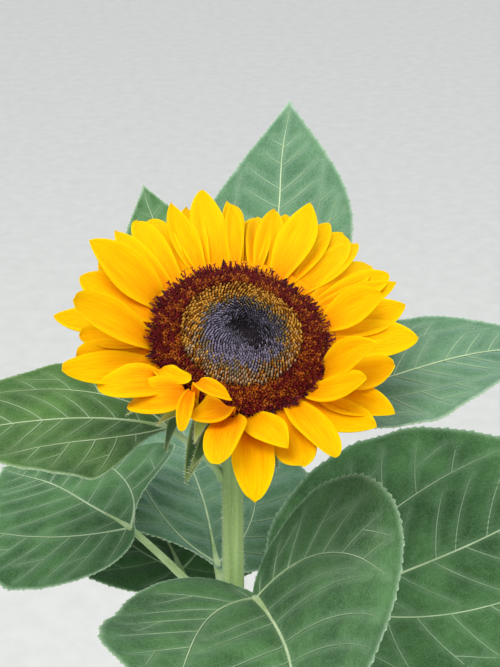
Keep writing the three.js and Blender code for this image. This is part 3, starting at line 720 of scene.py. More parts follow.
    def make_veins(self):
        """Midrib, two strong basal veins, side veins of all three, and veins into the base lobes."""
        size, half = self.length, 0.5 * self.width
        share = np.linspace(-0.01, 0.975, 50)
        veins = [(np.stack([share * size, self.midrib_sway(share)], -1), 1.0)]
        for side, spread, (far, wide) in zip((1, -1), self.spreads, self.ends):
            spread = math.radians(spread)
            out = 0.15 * size * np.array([math.cos(spread), side * math.sin(spread)])
            end = np.array([far * size, side * wide * half])
            basal = bezier((0, 0), out, 0.72 * out + 0.28 * end + [0.02 * size, side * 0.16 * half], end, 30)
            veins.append((basal, self.basal))
            veins += [*self.midrib_branches(side, basal), *self.basal_branches(side, basal)]
        return [(path, width) for path, width in veins if len(path) > 3]

    def vein_distance(self, u, w):
        """Distance of each place on the flat blade from its nearest vein."""
        places = np.stack([np.ravel(u), np.ravel(w)], -1)
        best = np.full(len(places), 1e9)
        for path, _ in self.veins:
            a, b = path[:-1], path[1:]
            ab = b - a
            t = ((places[:, None] - a) * ab).sum(-1) / np.maximum((ab ** 2).sum(-1), 1e-9)
            near = a + np.clip(t, 0, 1)[..., None] * ab
            best = np.minimum(best, np.linalg.norm(places[:, None] - near, axis=-1).min(1))
        return best.reshape(np.shape(u))

    def inside_edge(self, rank):
        """A share that falls from one to nothing towards the blade's edge, to flatten the relief there."""
        return np.clip((1.02 - rank) / 0.12, 0, 1)

    def blade_faces(self, around):
        """One side's triangles: a fan, rings like the outline, and a last one with three points a step."""
        inner = 1 + (BLADE_RINGS - 1) * around
        k = np.arange(around)
        nxt = (k + 1) % around
        last = inner - around
        o = [inner + 3 * k, inner + 3 * k + 1, inner + 3 * k + 2, inner + 3 * nxt]
        joined = ((last + k, o[0], o[1]), (last + k, o[1], last + nxt), (last + nxt, o[1], o[2]),
                  (last + nxt, o[2], o[3]))
        rings = grid_faces(BLADE_RINGS - 1, around, True)[:, ::-1] + 1
        return np.concatenate([cap_faces(1, around, 0, False), rings, *(np.stack(f, -1) for f in joined)])

    def add_blade(self, skin):
        rings = np.linspace(0, 1, BLADE_RINGS + 1)[1:]
        around = len(self.outline)
        inside = self.middle + rings[:-1, None, None] * (self.outline - self.middle)
        places = np.concatenate([[self.middle], inside.reshape(-1, 2), self.toothed_edge()])
        u, w = places.T
        away = self.vein_distance(u, w)
        rank = self.reach(u, w)
        detail = PUCKER * self.length / 180 * (1 - np.exp(-(away / PUCKER_REACH) ** 2) - 0.6)
        detail = detail * self.inside_edge(rank)
        mark = 0.5 * np.exp(-(away / VEIN_GLOW_REACH) ** 2) + np.clip((rank - 0.985) / 0.015, 0, 1)
        upper, _ = self.surface(u, w, 0.0, detail)
        under, _ = self.surface(u, w, BLADE_THICKNESS, detail)
        count = len(u)
        # the outline runs clockwise seen from above, so the upper side's faces are turned over
        top = self.outward(self.blade_faces(around)[:, ::-1], upper)
        m = count - 3 * around + np.arange(3 * around)
        n = np.roll(m, -1)
        rim = [np.stack([m, n, count + n], -1), np.stack([m, count + n, count + m], -1)]
        faces = np.concatenate([top, top[:, ::-1] + count, *rim])
        slots = (np.arange(len(faces)) >= len(top)).astype(int)
        uv = np.tile(places / 100, (2, 1))
        skin.add(np.concatenate([upper, under]), faces, slots, uv, np.tile(mark, 2))

    def outward(self, faces, points):
        """Faces in the order that makes the upper side face up."""
        a, b, c = (points[faces[:, i]] for i in range(3))
        normal = np.cross(b - a, c - a).sum(0)
        return faces if normal @ self.axes(np.array([0.3]))[2][0] > 0 else faces[:, ::-1]

    def toothed_edge(self):
        """The outline with a small forward tooth on each of its steps, three points a step."""
        here, ahead = self.outline, np.roll(self.outline, -1, axis=0)
        towards_tip = self.outline[:, 1:] >= 0
        way = unit(ahead - np.roll(self.outline, 1, axis=0))
        out = np.stack([-way[:, 1], way[:, 0]], -1)
        jag = TOOTH_DEPTH * (0.62 + 0.38 * np.sin(np.arange(len(here)) * 2.1 + self.index))[:, None]
        size = np.clip(np.hypot(*(ahead - here).T) / TOOTH_PITCH, 0.15, 1.2)[:, None] * jag
        one = here + (ahead - here) * np.where(towards_tip, 0.45, 0.15)
        two = here + (ahead - here) * np.where(towards_tip, 0.85, 0.55)
        one = one + out * size * np.where(towards_tip, 0.25, 0.75)
        two = two + out * size * np.where(towards_tip, 0.75, 0.25)
        return np.stack([here - out * size * 0.35, one, two], axis=1).reshape(-1, 2)

    def add_veins(self, skin, main_slot, side_slot):
        for path, width in self.veins:
            slot = main_slot if width > MAIN_VEIN else side_slot
            share = np.linspace(0, 1, len(path))
            bulk = width * (0.42 + 0.0030 * self.length) * (1 - 0.72 * share)
            sunk = -0.6 * PUCKER * self.length / 180 * self.inside_edge(self.reach(*path.T))
            top, above = self.surface(*path.T, -VEIN_RISE, sunk)
            root = 0.5 * np.exp(-share / 0.15) if width > MAIN_VEIN else 0
            skin.add(*tube(top, (0.14 + 0.46 * bulk + root) * (1.05 - share ** 5), 5, above, 0.7), slot)
            low, above = self.surface(*path.T, BLADE_THICKNESS, sunk)
            skin.add(*tube(low, 0.15 + bulk, 6, above), slot)

    def add_stalk(self, skin, slot):
        """Grooved stalk from inside the stem to the fork, and on as a slim taper over the blade's base."""
        inward = heading(self.azimuth, self.rise)
        path = np.concatenate([[self.stalk_path[0] - inward * 2.5], self.stalk_path])
        share = np.linspace(0, 1, len(path))
        radii = self.stalk * (1 - 0.28 * share) * (1 + 0.45 * np.exp(-(share / 0.08) ** 2))
        upward = np.cross(inward, heading(self.azimuth + 90, 0))
        above = np.tile(upward, (len(path), 1))
        path = path - above * (self.stalk * 0.55 * share ** 3)[:, None]
        beyond = np.array([0.025, 0.05, 0.08, 0.115, 0.15])
        slim = radii[-1] * np.array([0.88, 0.7, 0.52, 0.35, 0.2])
        rib, rib_above = self.surface(beyond * self.length, self.midrib_sway(beyond))
        path = np.concatenate([path, rib - rib_above * (0.76 * slim)[:, None]])
        radii = np.concatenate([radii, slim])
        above = np.concatenate([above, rib_above])
        points, faces = tube(path, radii, STALK_SIDES, above)
        ring = points[:-2].reshape(len(path), STALK_SIDES, 3)
        groove = np.exp(-((circle(STALK_SIDES) - np.pi / 2) / 0.5) ** 2) * 0.45
        ring -= above[:, None] * (groove[None, :, None] * radii[:, None, None])
        skin.add(points, faces, slot)
        self.stalk_skin = (ring.reshape(-1, 3), np.repeat(path, STALK_SIDES, axis=0))

    def hair_roots(self):
        """Roots and directions of hairs on the stalk and along the blade's edge."""
        skin, axis = self.stalk_skin
        pick = rng.integers(0, len(skin), STALK_HAIRS)
        mixed = rng.uniform(0, 1, (STALK_HAIRS, 1))
        other = np.clip(pick + STALK_SIDES, 0, len(skin) - 1)
        roots = skin[pick] * mixed + skin[other] * (1 - mixed)
        out = unit(roots - axis[pick] * mixed - axis[other] * (1 - mixed))
        picked = self.toothed_edge()
        picked = picked[rng.integers(0, len(picked), EDGE_HAIRS)].T
        edge, above = self.surface(*picked)
        centre, _ = self.surface(*(0.9 * picked))
        outward = unit(edge - centre) + 0.25 * above
        return np.concatenate([roots - 0.05 * out, edge]), np.concatenate([out, outward])


def leaf_pieces(blade_tops, *materials, hair):
    grown = []
    for traits in all_leaves():
        leaf = Leaf(traits)
        skin = Skin()
        leaf.add_blade(skin)
        leaf.add_veins(skin, 2, 3)
        leaf.add_stalk(skin, 4)
        skin.piece(leaf.name + "_fine", [blade_tops[leaf.tint], *materials], "leaf", leaf.name, crease=60)
        grown.append(leaf.hair_roots())
    roots, directions = (np.concatenate(part) for part in zip(*grown))
    directions = unit(directions) + rng.normal(0, 0.25, directions.shape)
    shape = hairs(roots, directions, rng.uniform(0.5, 1.2, len(roots)), LEAF_HAIR_WIDTH)
    single(shape, "leaf_hairs", hair, "leaf")


# Flower head

def head_axes():
    x = unit(np.array([1.0, 0.0, 0.0]) - HEAD_FACING * HEAD_FACING[0])
    return np.stack([x, np.cross(HEAD_FACING, x), HEAD_FACING], axis=-1)


def on_head(points):
    return HEAD_CENTRE + np.asarray(points, float) @ head_axes().T


def shape_on_head(points, faces):
    return on_head(points), faces


def smoothed(values, reach=3):
    padded = np.pad(values, reach, mode="edge")
    return np.convolve(padded, np.ones(2 * reach + 1) / (2 * reach + 1), mode="valid")


def strip_lines(at, root, depth, long, rise, droop, sway, roll, steps, lift=0):
    """Midline, left and upper directions of a ray or bract, in the head's own frame.

    A lifted one first stands upright on its foot, and then folds over.
    """
    share = np.linspace(0, 1, steps + 1)
    azimuth = at + sway * (0.35 + 0.65 * share)
    elevation = rise - droop * share
    tilt = np.full(steps + 1, float(roll))
    step = long / steps
    if lift:
        rows = round((lift + depth - RAY_FOOT_DEPTH) / step)
        part = np.linspace(0, 1, rows)
        share = np.concatenate([np.zeros(rows), share])
        azimuth = smoothed(np.concatenate([at + (azimuth[0] - at) * part ** 3, azimuth]))
        elevation = smoothed(np.concatenate([90 + 0 * part, elevation]))
        tilt = smoothed(np.concatenate([roll * part, tilt]))
        depth = RAY_FOOT_DEPTH
    along = heading(azimuth, elevation)
    left = heading(azimuth + 90, 0 * share)
    left, above = rolled(left, np.cross(along, left), tilt[:, None])
    middle = walked(heading(at, 0) * root + [0, 0, depth], along[:-1] * step)
    return share, middle, left, above


def strip_skin(lines, half_width, lift, thickness, across):
    """Closed thin sheet: half_width by share, lift by (share, across) above the midline."""
    share, middle, left, above = lines
    t = np.linspace(-1, 1, across + 1)
    reach = half_width[:, None]
    top = middle[:, None] + left[:, None] * (t * reach)[..., None] + above[:, None] * lift[..., None]
    under = top - above[:, None] * thickness
    rows = len(share)
    ring = np.concatenate([top, under[:, ::-1]], axis=1)
    around = 2 * (across + 1)
    ends = []
    for row, flip in ((0, False), (rows - 1, True)):
        k = np.arange(across)
        a, b = row * around + k, row * around + k + 1
        c, d = row * around + around - 2 - k, row * around + around - 1 - k
        quad = np.concatenate([np.stack([a, b, c], -1), np.stack([a, c, d], -1)])
        ends.append(quad[:, ::-1] if flip else quad)
    uv_t = np.concatenate([t, t[::-1]])
    uv = np.stack(np.broadcast_arrays(share[:, None], uv_t[None, :]), -1).reshape(-1, 2)
    faces = np.concatenate([grid_faces(rows, around, True)[:, ::-1], *ends])[:, ::-1]
    return ring.reshape(-1, 3), faces, uv


def ray_half_width(share, wide, widest, point):
    """Half width along a ray: a narrower root, widest past the middle, and a blunt or sharper point."""
    near = 0.44 + 0.56 * np.sin(np.pi / 2 * np.clip(share / widest, 0, 1)) ** 1.1
    far = (1 - np.clip((share - widest) / (1 - widest), 0, 1) ** 1.9) ** point
    return wide / 2 * np.where(share < widest, near, RAY_TAIL + (1 - RAY_TAIL) * far)


def ray_relief(i, wide, half, s, t):
    """How far a ray's surface lies above its midline: a trough with ridges, a curl, waves and a bent tip."""
    crease = RAY_GROOVE + 0.04 * vary(i, 71) + (NARROW_CREASE if wide < NARROW_RAY else 0)
    trough = -2 * crease * (1 - np.abs(t) ** 1.5) * half
    waves = np.cos(2.5 * np.pi * t + 0.5 * vary(i, 72)) + 0.4 * np.cos(6.5 * np.pi * t)
    ridges = RAY_RIDGE * waves * np.sin(np.pi * s) ** 0.5
    curl = (0.18 * vary(i, 73) + 0.04) * t ** 2 * half * s
    wavy = 0.9 * vary(i, 74) * t * np.sin(5 * s + 6 * vary(i, 75))
    tip_curl = 2.2 * vary(i, 77) * np.clip((s - 0.7) / 0.3, 0, 1) ** 2 * (1 + 0 * t)
    return trough + ridges + curl + wavy + tip_curl


def ray_pieces(usual_material, shaded_material):
    t = np.linspace(-1, 1, RAY_ACROSS + 1)[None, :]
    for i, (at, long, wide, rise, droop, sway, roll, *lift) in enumerate(RAYS):
        depth = RAY_ROOT_DEPTHS[i % len(RAY_ROOT_DEPTHS)]
        inset = 0 if lift else RAY_FOOT_INSET
        way = (rise, droop, sway, roll, RAY_STEPS, *lift)
        lines = strip_lines(at, RAY_ROOT_RADIUS - inset, depth, long + inset, *way)
        share = lines[0]
        point, spread = (0.5, 0.08) if BLUNT_FROM < at < BLUNT_TO else (0.76, 0.2)
        half = ray_half_width(share, 0.95 * wide, 0.55 + 0.08 * vary(i, 76), point + spread * vary(i, 70))
        relief = ray_relief(i, wide, half[:, None], share[:, None], t)
        points, faces, uv = strip_skin(lines, half, relief, RAY_THICKNESS, RAY_ACROSS)
        # rays of the lower left take the more orange colours, as painted shade
        material = shaded_material if SHADED_PETALS_FROM < at < SHADED_PETALS_TO else usual_material
        single(shape_on_head(points, faces), "ray_%02d" % (i + 1), material, "ray", "ray_florets",
               crease=70, uv=uv)
    ring = [(SKIRT_INNER, -2.9), (SKIRT_OUTER, -2.2), (SKIRT_OUTER, -2.9), (SKIRT_INNER, -3.6)]
    points, faces = turned([*ring, ring[0]], HEAD_SEGMENTS)
    uv = np.tile([SKIRT_SHARE, 0.0], (len(points), 1))
    single(shape_on_head(points, faces), "ray_skirt", usual_material, "ray", "ray_florets", uv=uv)


def all_bracts():
    bracts = []
    for r, (count, first, root, depth, long, wide, rise, droop) in enumerate(BRACT_ROWS):
        for i in range(count):
            at = first + 360 * i / count + 4 * vary(i, 20 + r)
            lift = BRACT_FRONT_LIFT * (0.5 - 0.5 * math.sin(math.radians(at)))
            way = (rise + lift, droop, 10 * vary(i, 40 + r), 6 * vary(i, 50 + r))
            if not FRONT_FROM <= at <= FRONT_TO:
                bracts.append((at, root, depth, long * (1 + 0.08 * vary(i, 30 + r)), wide, *way))
    return bracts + FRONT_BRACTS


def bract_hair_roots(middle, left, above, half):
    """Roots and directions of hairs along a bract's edges and on its back."""
    pick = rng.integers(1, len(middle), BRACT_EDGE_HAIRS)
    side = rng.choice([-1.0, 1.0], BRACT_EDGE_HAIRS)
    edge = middle[pick] + left[pick] * (side * half[pick] * 0.97)[:, None]
    outward = left[pick] * side[:, None]
    pick = rng.integers(1, len(middle), BRACT_BACK_HAIRS)
    over = rng.uniform(-0.9, 0.9, BRACT_BACK_HAIRS)
    back = middle[pick] + left[pick] * (over * half[pick])[:, None] - 0.7 * above[pick]
    return on_head(np.concatenate([edge, back])), np.concatenate([outward, -above[pick]]) @ head_axes().T


def bract_pieces(dark_material, pale_painted_light_material, hair_material):
    grown = []
    t = np.linspace(-1, 1, BRACT_ACROSS + 1)[None, :]
    for number, (at, root, depth, long, wide, *way) in enumerate(all_bracts()):
        lines = strip_lines(at, root, depth, long, *way, BRACT_STEPS)
        share = lines[0]
        half = wide / 2 * (0.02 + 0.98 * (1 - share) ** 1.05 * (0.85 + 0.95 * share))
        keel = -0.22 * (1 - np.abs(t)) * half[:, None] + 0.12 * np.cos(3.5 * np.pi * t)
        wavy = 0.45 * np.sin(11 * share[:, None] + number) * t * np.sqrt(share[:, None])
        points, faces, uv = strip_skin(lines, half, keel + wavy, BRACT_THICKNESS, BRACT_ACROSS)
        glow = np.clip((np.abs(uv[:, 1]) - 0.7) / 0.3, 0, 1) + np.clip((uv[:, 0] - 0.72) / 0.28, 0, 1)
        # painted light: the lighter colour offsets the shade that the petals cast on these bracts
        material = pale_painted_light_material if at in PALE_BRACTS_PAINTED_LIGHT else dark_material
        single(shape_on_head(points, faces), "bract_%02d" % (number + 1), material, "bract", "involucre",
               crease=70, uv=uv, value=glow)
        grown.append(bract_hair_roots(*lines[1:], half))
    roots, directions = (np.concatenate(part) for part in zip(*grown))
    directions = directions + rng.normal(0, 0.3, directions.shape)
    shape = hairs(roots, directions, rng.uniform(0.6, 1.5, len(roots)), BRACT_HAIR_WIDTH)
    single(shape, "bract_hairs", hair_material, "bract")


def turned(profile, segments):
    """Surface of revolution about the head's axis, from points (radius, height)."""
    profile = np.array(profile, float)
    angle = circle(segments)
    radius, height = profile[:, :1], profile[:, 1:]
    points = np.stack(np.broadcast_arrays(radius * np.cos(angle), radius * np.sin(angle), height), -1)
    return points.reshape(-1, 3), grid_faces(len(profile), segments, True)


def smooth_profile(profile, per_step):
    profile = np.array(profile, float)
    fine = np.linspace(0, len(profile) - 1, per_step * (len(profile) - 1) + 1)
    return np.stack([np.interp(fine, np.arange(len(profile)), column) for column in profile.T], -1)


def receptacle_piece(material):
    rim = FLOOR_OF_DISC - GAP
    profile = [(0.01, -RECEPTACLE_DEPTH), (NECK_RADIUS, -RECEPTACLE_DEPTH), (12, -26), (21, -21.5),
               (31, -14.5), (37, -8.5), (39.8, rim), (0.01, rim)]
    shape = shape_on_head(*turned(smooth_profile(profile, 5), HEAD_SEGMENTS))
    single(shape, "receptacle_fine", material, "bract", "involucre")


def dome_height(radius):
    share = np.asarray(radius, float) / DISC_RADIUS
    return DISC_DOME_HEIGHT * (1 - share ** 3) - DISC_DIMPLE * np.maximum(0, 1 - (share / 0.32) ** 2)


def disc_reach(angle):
    """How far the disc reaches at an angle in radians, as a share of its radius."""
    away = np.angle(np.exp(1j * (np.asarray(angle) - math.radians(NARROW_SIDE))))
    return 1 - NARROW_BY * np.exp(-(away / 0.6) ** 2)


def drifted(radius, angle):
    """Radius and angle after the spiral's middle has moved off the disc's centre; the rim stays."""
    share = radius / FLORET_SPREAD
    hold = 1 - np.clip(share, 0, 1) ** 6
    x = radius * np.cos(angle) + DRIFT_RIGHT * hold
    y = radius * np.sin(angle) - (DRIFT_DOWN + DRIFT_DOWN_OUT * share ** 2) * hold
    return np.hypot(x, y), np.arctan2(y, x)


def dome_place(radius, angle):
    """Points and outward normals on the disc's dome, in the head's frame."""
    radius, angle = drifted(radius, angle)
    step = 0.2
    slope = (dome_height(radius + step) - dome_height(radius - step)) / (2 * step)
    out = heading(np.degrees(angle), 0)
    points = out * (radius * disc_reach(angle))[:, None] + UP * dome_height(radius)[:, None]
    return points, unit(UP - out * slope[:, None])


def lobed_template():
    """Open floret: a short tube with five pointed lobes turned outwards."""
    points, faces = turned([(0.30, 0.0), (0.34, 0.9), (0.42, 1.5)], 5)
    points, faces, count = [points], [faces], len(points)
    outline = ((0.34, -0.24, 1.45), (0.34, 0.24, 1.45), (0.66, -0.19, 1.78), (0.66, 0.19, 1.78),
               (1.02, 0, 1.62))
    edges = ((0, 1), (1, 3), (3, 4), (4, 2), (2, 0))
    top = [(0, 2, 1), (1, 2, 3), (2, 4, 3)]
    low = [(b + 5, a + 5, c + 5) for a, b, c in top]
    rim = [face for a, b in edges for face in ((a, b, b + 5), (a, b + 5, a + 5))]
    for k in range(5):
        a = 2 * math.pi * (k + 0.5) / 5
        out, side = np.array([math.cos(a), math.sin(a), 0]), np.array([-math.sin(a), math.cos(a), 0])
        lobe = np.array([out * far + side * wide + UP * high for far, wide, high in outline])
        points.append(np.concatenate([lobe, lobe - UP * 0.1 - out * 0.04]))
        faces.append(np.array(top + low + rim) + count)
        count += 10
    return np.concatenate(points), np.concatenate(faces)


def stigma_template():
    """Two short arms that curl apart from the middle of an open floret."""
    angle = np.linspace(0, 1.9, 5)
    away, high = 0.34 * (1 - np.cos(angle)), 2.0 + 0.34 * np.sin(angle)
    parts, faces, count = [], [], 0
    for side in (1, -1):
        arm = np.stack([side * away, 0.05 * side + 0 * angle, high], -1)
        path = np.concatenate([[[0, 0, 1.3]], arm])
        p, f = tube(path, np.linspace(0.13, 0.06, len(path)), 4, np.array([0, 1.0, 0.0]))
        parts.append(p)
        faces.append(f + count)
        count += len(p)
    return np.concatenate(parts), np.concatenate(faces)


def fringe_template(half_width):
    """Pointed scale, curved outwards, of the disc's ragged rim."""
    share = np.linspace(0, 1, 6)[:, None]
    half = half_width * (1 - share) ** 0.8 + 0.02
    middle = np.concatenate([0.5 * share ** 2, 0 * share, 1.9 * share], axis=1)
    ring = [middle + [0, 1, 0] * half, middle + [-0.16, 0, 0.0], middle - [0, 1, 0] * half]
    points = np.stack(ring, axis=1).reshape(-1, 3)
    return points, np.concatenate([grid_faces(6, 3, True), [[0, 2, 1], [15, 16, 17]]])


def floret_places():
    """Places of the disc's florets on their golden spiral, as share of the radius and angle."""
    n = np.arange(FLORETS)
    share = ((n + 0.5) / FLORETS) ** FLORET_CROWDING
    return share, np.radians(FLORET_ANGLE) * n


def floret_pitch(share):
    """Distance between neighbouring florets, in millimetres."""
    area = 2 * math.pi * FLORET_CROWDING / FLORETS * share ** (2 - 1 / FLORET_CROWDING)
    return FLORET_SPREAD * np.sqrt(area)


def scatter_piece(name, template, shares, angles, sizes, lean, material, sink=0.0, facing_out=False):
    """One joined piece: the template at each place, leaning outwards by lean degrees."""
    points, normal = dome_place(shares * FLORET_SPREAD, angles)
    out = np.stack([np.cos(angles), np.sin(angles), 0 * angles], -1)
    tilt = np.radians(lean)[:, None]
    normal = unit(normal * np.cos(tilt) + out * np.sin(tilt))
    frames = frames_from(normal)
    if facing_out:
        side = unit(np.cross(normal, out))
        frames = np.stack([np.cross(side, normal), side, normal], axis=-1)
    shape = shape_on_head(*copies(*template, points - sink * normal, frames, sizes))
    single(shape, name, material, "disc", "disc_florets", crease=60)


def gold_end(angle):
    return GOLD_END - GOLD_END_LEFT * np.cos(angle)


def disc_zones(share, angle, chance):
    """Which buds have which tip: slate and grey in the middle ring, dusky ones, then brown, gold or beige.

    The core is drawn out towards the upper left and lower right. The middle ring reaches furthest and is
    palest towards the lower left.
    """
    up, right = np.sin(angle), np.cos(angle)
    core = share < CORE_END + 0.07 * np.cos(2 * (angle - CORE_LENGTHWISE)) + 0.2 * (chance - 0.5)
    level = (share - GREY_END + 0.06 * up + 0.04 * right) / 0.2 + 0.8 * (np.roll(chance, 7) - 0.5)
    early = level > 0.22
    dusky = (level > -0.15) & ~early
    pale = chance < np.clip((share - CORE_END) / 0.24, 0, 1) * (0.6 - 0.24 * (up + right))
    bright = chance < 0.62
    low = np.roll(chance, 3) < np.clip(0.2 - 1.2 * up, 0, 0.85)
    zones = {
        "core": core,
        "slate": ~core & ~early & ~dusky & ~pale,
        "grey": ~core & ~early & ~dusky & pale,
        "dusk": ~core & dusky,
        "brown": ~core & early & ~bright,
        "gold": ~core & early & bright & ~low,
        "beige": ~core & early & bright & low,
    }
    return {kind: zone & (share < gold_end(angle)) for kind, zone in zones.items()}


def disc_bed_piece():
    rim = [(0.01, FLOOR_OF_DISC), (DISC_RADIUS, FLOOR_OF_DISC), (DISC_RADIUS, dome_height(DISC_RADIUS) - 0.6)]
    top = [(r, float(dome_height(r)) - 0.6) for r in np.linspace(DISC_RADIUS, 0.01, 40)[1:]]
    points, faces = turned(smooth_profile(rim, 2).tolist() + top, HEAD_SEGMENTS)
    points[:, :2] *= disc_reach(np.arctan2(points[:, 1], points[:, 0]))[:, None]
    bed = floret_material("disc_bed", "150b0d", "231316")
    single(shape_on_head(points, faces), "disc_bed", bed, "disc", "disc_florets")


def bud_pieces(share, angle):
    """Closed florets: a darker body and a spindle-shaped tip, both in the colours of their zone."""
    body = turned([(0.46, -0.5), (0.48, 0.2), (0.36, 0.5), (0.01, 0.6)], 6)
    tip = turned([(0.18, 0.1), (0.31, 0.6), (0.36, 1.0), (0.28, 1.4), (0.12, 1.7), (0.01, 1.76)], 6)
    size = floret_pitch(share) * rng.uniform(0.86, 1.1, FLORETS)
    lean = rng.uniform(-12, 12, FLORETS) - 10 - 30 * share
    zones = disc_zones(share, angle, rng.uniform(0, 1, FLORETS))
    for kind, shade, low, high in (
        ("core", "0f0b0d", "181317", "423b40"), ("slate", "1e1b22", "433e49", "696371"),
        ("grey", "282430", "686074", "9c94aa"), ("dusk", "241a18", "66543e", "9c8860"),
        ("brown", "281408", "7a4614", "ac7026"), ("gold", "301a08", "b47c20", "ecb856"),
        ("beige", "2c1a12", "8a6c4e", "c8aa86"),
    ):
        places = [values[zones[kind]] for values in (share, angle, size, lean)]
        scatter_piece("bud_bodies_" + kind, body, *places, floret_material("body_" + kind, shade, low))
        scatter_piece("bud_tips_" + kind, tip, *places, floret_material("bud_" + kind, low, high))


def open_floret_pieces(share, angle):
    """Open florets of the outer ring: lobed tubes with curled stigmas, and dark anthers between."""
    opened = share >= gold_end(angle)
    outward = np.clip((share - GOLD_END) / (1 - GOLD_END), 0, 1)
    lean = 30 * outward ** 2 + rng.uniform(-20, 20, FLORETS)
    size = (1.0 + 0.30 * share) * rng.uniform(0.8, 1.25, FLORETS)
    chance = rng.uniform(0, 1, FLORETS)
    rust_share = 0.62 - 0.45 * outward
    lobed, stigma = lobed_template(), stigma_template()
    anther = turned([(0.16, 0.8), (0.17, 2.0), (0.01, 2.3)], 5)
    for name, template, some, scale, sink, *look in (
        ("open_lobes_maroon", lobed, chance >= rust_share, 1, 0.9, "lobe_maroon", "4c1012", "902a1c"),
        ("open_lobes_rust", lobed, chance < rust_share, 1, 0.9, "lobe_rust", "8a3a0c", "c86c1c"),
        ("stigmas_orange", stigma, chance < 0.6 * rust_share, 1.15, 0.8, "stigma_orange", "9c440c", "d8852a"),
        ("stigmas_crimson", stigma, chance > 0.3, 1.15, 0.8, "stigma_crimson", "480e18", "8c2426"),
        ("open_anthers", anther, True, 1, 0.8, "anther_dark", "180706", "30100e"),
    ):
        zone = opened & some
        scatter_piece(name, template, share[zone], angle[zone], scale * size[zone], lean[zone],
                      floret_material(*look), sink=sink)


def rim_pieces(share, angle):
    """Chaff points among the outer florets, and the disc's ragged rim of scales and long curled styles."""
    chaff = floret_material("chaff_dark", "1c080c", "401218")
    spike = turned([(0.22, -0.3), (0.18, 1.2), (0.01, 2.6)], 4)
    outer = share > CHAFF_FROM
    count = int(outer.sum())
    scatter_piece("chaff_points", spike, np.clip(share[outer] + 0.012, 0, 1.0), angle[outer] + 0.02,
                  rng.uniform(0.7, 1.2, count), rng.uniform(-5, 30, count), chaff)
    around = np.linspace(0, 2 * np.pi, FRINGE, endpoint=False) + rng.normal(0, 0.012, FRINGE)
    scatter_piece("rim_scales", fringe_template(0.42), rng.uniform(0.95, 1.03, FRINGE), around,
                  rng.uniform(0.9, 1.9, FRINGE) ** 1.2, rng.uniform(5, 60, FRINGE), chaff, facing_out=True)
    around = rng.uniform(0, 2 * np.pi, LONG_SCALES)
    scatter_piece("rim_long_scales", fringe_template(0.7), rng.uniform(0.97, 1.02, LONG_SCALES), around,
                  rng.uniform(2.0, 3.0, LONG_SCALES), rng.uniform(5, 50, LONG_SCALES), chaff, facing_out=True)
    around = rng.uniform(0, 2 * np.pi, RIM_STYLES)
    style = floret_material("style_crimson", "400c18", "84202a")
    scatter_piece("rim_styles", stigma_template(), rng.uniform(0.9, 1.02, RIM_STYLES), around,
                  rng.uniform(1.4, 2.3, RIM_STYLES), rng.uniform(5, 55, RIM_STYLES), style)


def disc_pieces():
    places = floret_places()
    disc_bed_piece()
    bud_pieces(*places)
    open_floret_pieces(*places)
    rim_pieces(*places)


# Scene

def stage():
    floor = bpy.data.meshes.new("floor")
    reach = 9.0
    corners = [(-reach, -reach, 0), (reach, -reach, 0), (reach, reach, 0), (-reach, reach, 0)]
    floor.from_pydata(corners, [], [(0, 1, 2, 3)])
    floor.materials.append(floor_material())
    made = bpy.data.objects.new("floor", floor)
    bpy.context.scene.collection.objects.link(made)


def area_light(name, place, target, size, power, colour):
    light = bpy.data.lights.new(name, "AREA")
    light.shape = "DISK"
    light.size = size
    light.energy = power
    light.color = colour
    made = bpy.data.objects.new(name, light)
    made.location = place
    direction = Vector(target) - Vector(place)
    made.rotation_euler = direction.to_track_quat("-Z", "Y").to_euler()
    bpy.context.scene.collection.objects.link(made)


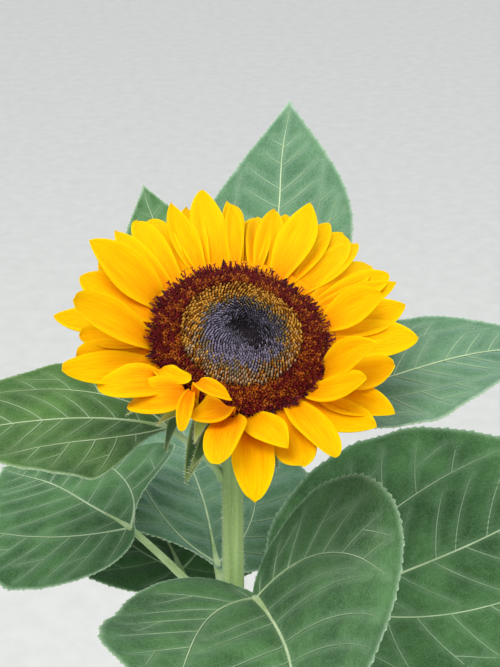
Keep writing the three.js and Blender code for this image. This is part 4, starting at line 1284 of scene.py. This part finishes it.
def lights():
    world = bpy.data.worlds.new("soft_sky")
    world.use_nodes = True
    world.node_tree.nodes["Background"].inputs["Color"].default_value = (0.93, 0.97, 1.0, 1.0)
    world.node_tree.nodes["Background"].inputs["Strength"].default_value = 0.88
    bpy.context.scene.world = world
    area_light("key", (-0.5, -0.7, 2.7), (0, 0, 0.9), 1.4, 31, (1.0, 0.98, 0.95))
    area_light("fill", (1.6, -1.4, 1.8), (0, 0, 0.7), 1.6, 9, (0.95, 0.98, 1.0))


def camera():
    data = bpy.data.cameras.new("photo_camera")
    data.lens = CAMERA_LENS
    data.sensor_width = SENSOR
    data.sensor_fit = "AUTO"
    data.clip_end = 60
    made = bpy.data.objects.new("photo_camera", data)
    made.location = Vector(CAMERA_PLACE) * MM
    made.rotation_euler = (math.radians(90 - CAMERA_PITCH), 0, 0)
    bpy.context.scene.collection.objects.link(made)
    bpy.context.scene.camera = made


def build():
    camera()
    lights()
    stage()
    bpy.context.scene.view_settings.view_transform = "Standard"
    hair = tissue_material("pale_hair", "c9d3b4", "e6ecd8", relief=0.02)
    stem_piece(tissue_material("stem_green", "5e8436", "a8c27a", 150.0, 0.4, (1, 1, 0.04)))
    stem_hair_piece(hair)
    tops = {
        "mid": leaf_material("leaf_upper", "234c1e", "527f48", "a0be9c", 0.07),
        # pale: the same blade with lighter, bluer greens, painted sky reflection and painted light
        "pale": leaf_material("leaf_upper_pale_sky_sheen", "406b48", "608a60", "aec8ae", 0.3),
        "deep": leaf_material("leaf_upper_deep", "25491e", "4c7434", "98b480", 0.06),
    }
    under = leaf_material("leaf_under", "6f9068", "8aa882", "b6cca8", 0.1)
    vein = tissue_material("vein_pale", "a3bd8c", "c6daae", relief=0.05)
    side_vein = tissue_material("vein_dull", "7b9e70", "9fbc92", relief=0.05)
    stalk = tissue_material("stalk_green", "96b670", "c6daa4", 80.0, 0.2)
    leaf_pieces(tops, under, vein, side_vein, stalk, hair=hair)
    bract = bract_material("bract_green", "233a1b", "4c7036", "a9bb72")
    receptacle_piece(bract)
    bract_pieces(bract, bract_material("bract_pale", "b4e060", "e4fa8c", "f4fcc4"), hair)
    ray_pieces(ray_material("petal_yellow", PETAL_TONES), ray_material("petal_painted_shade", SHADED_PETAL_TONES))
    disc_pieces()


build()
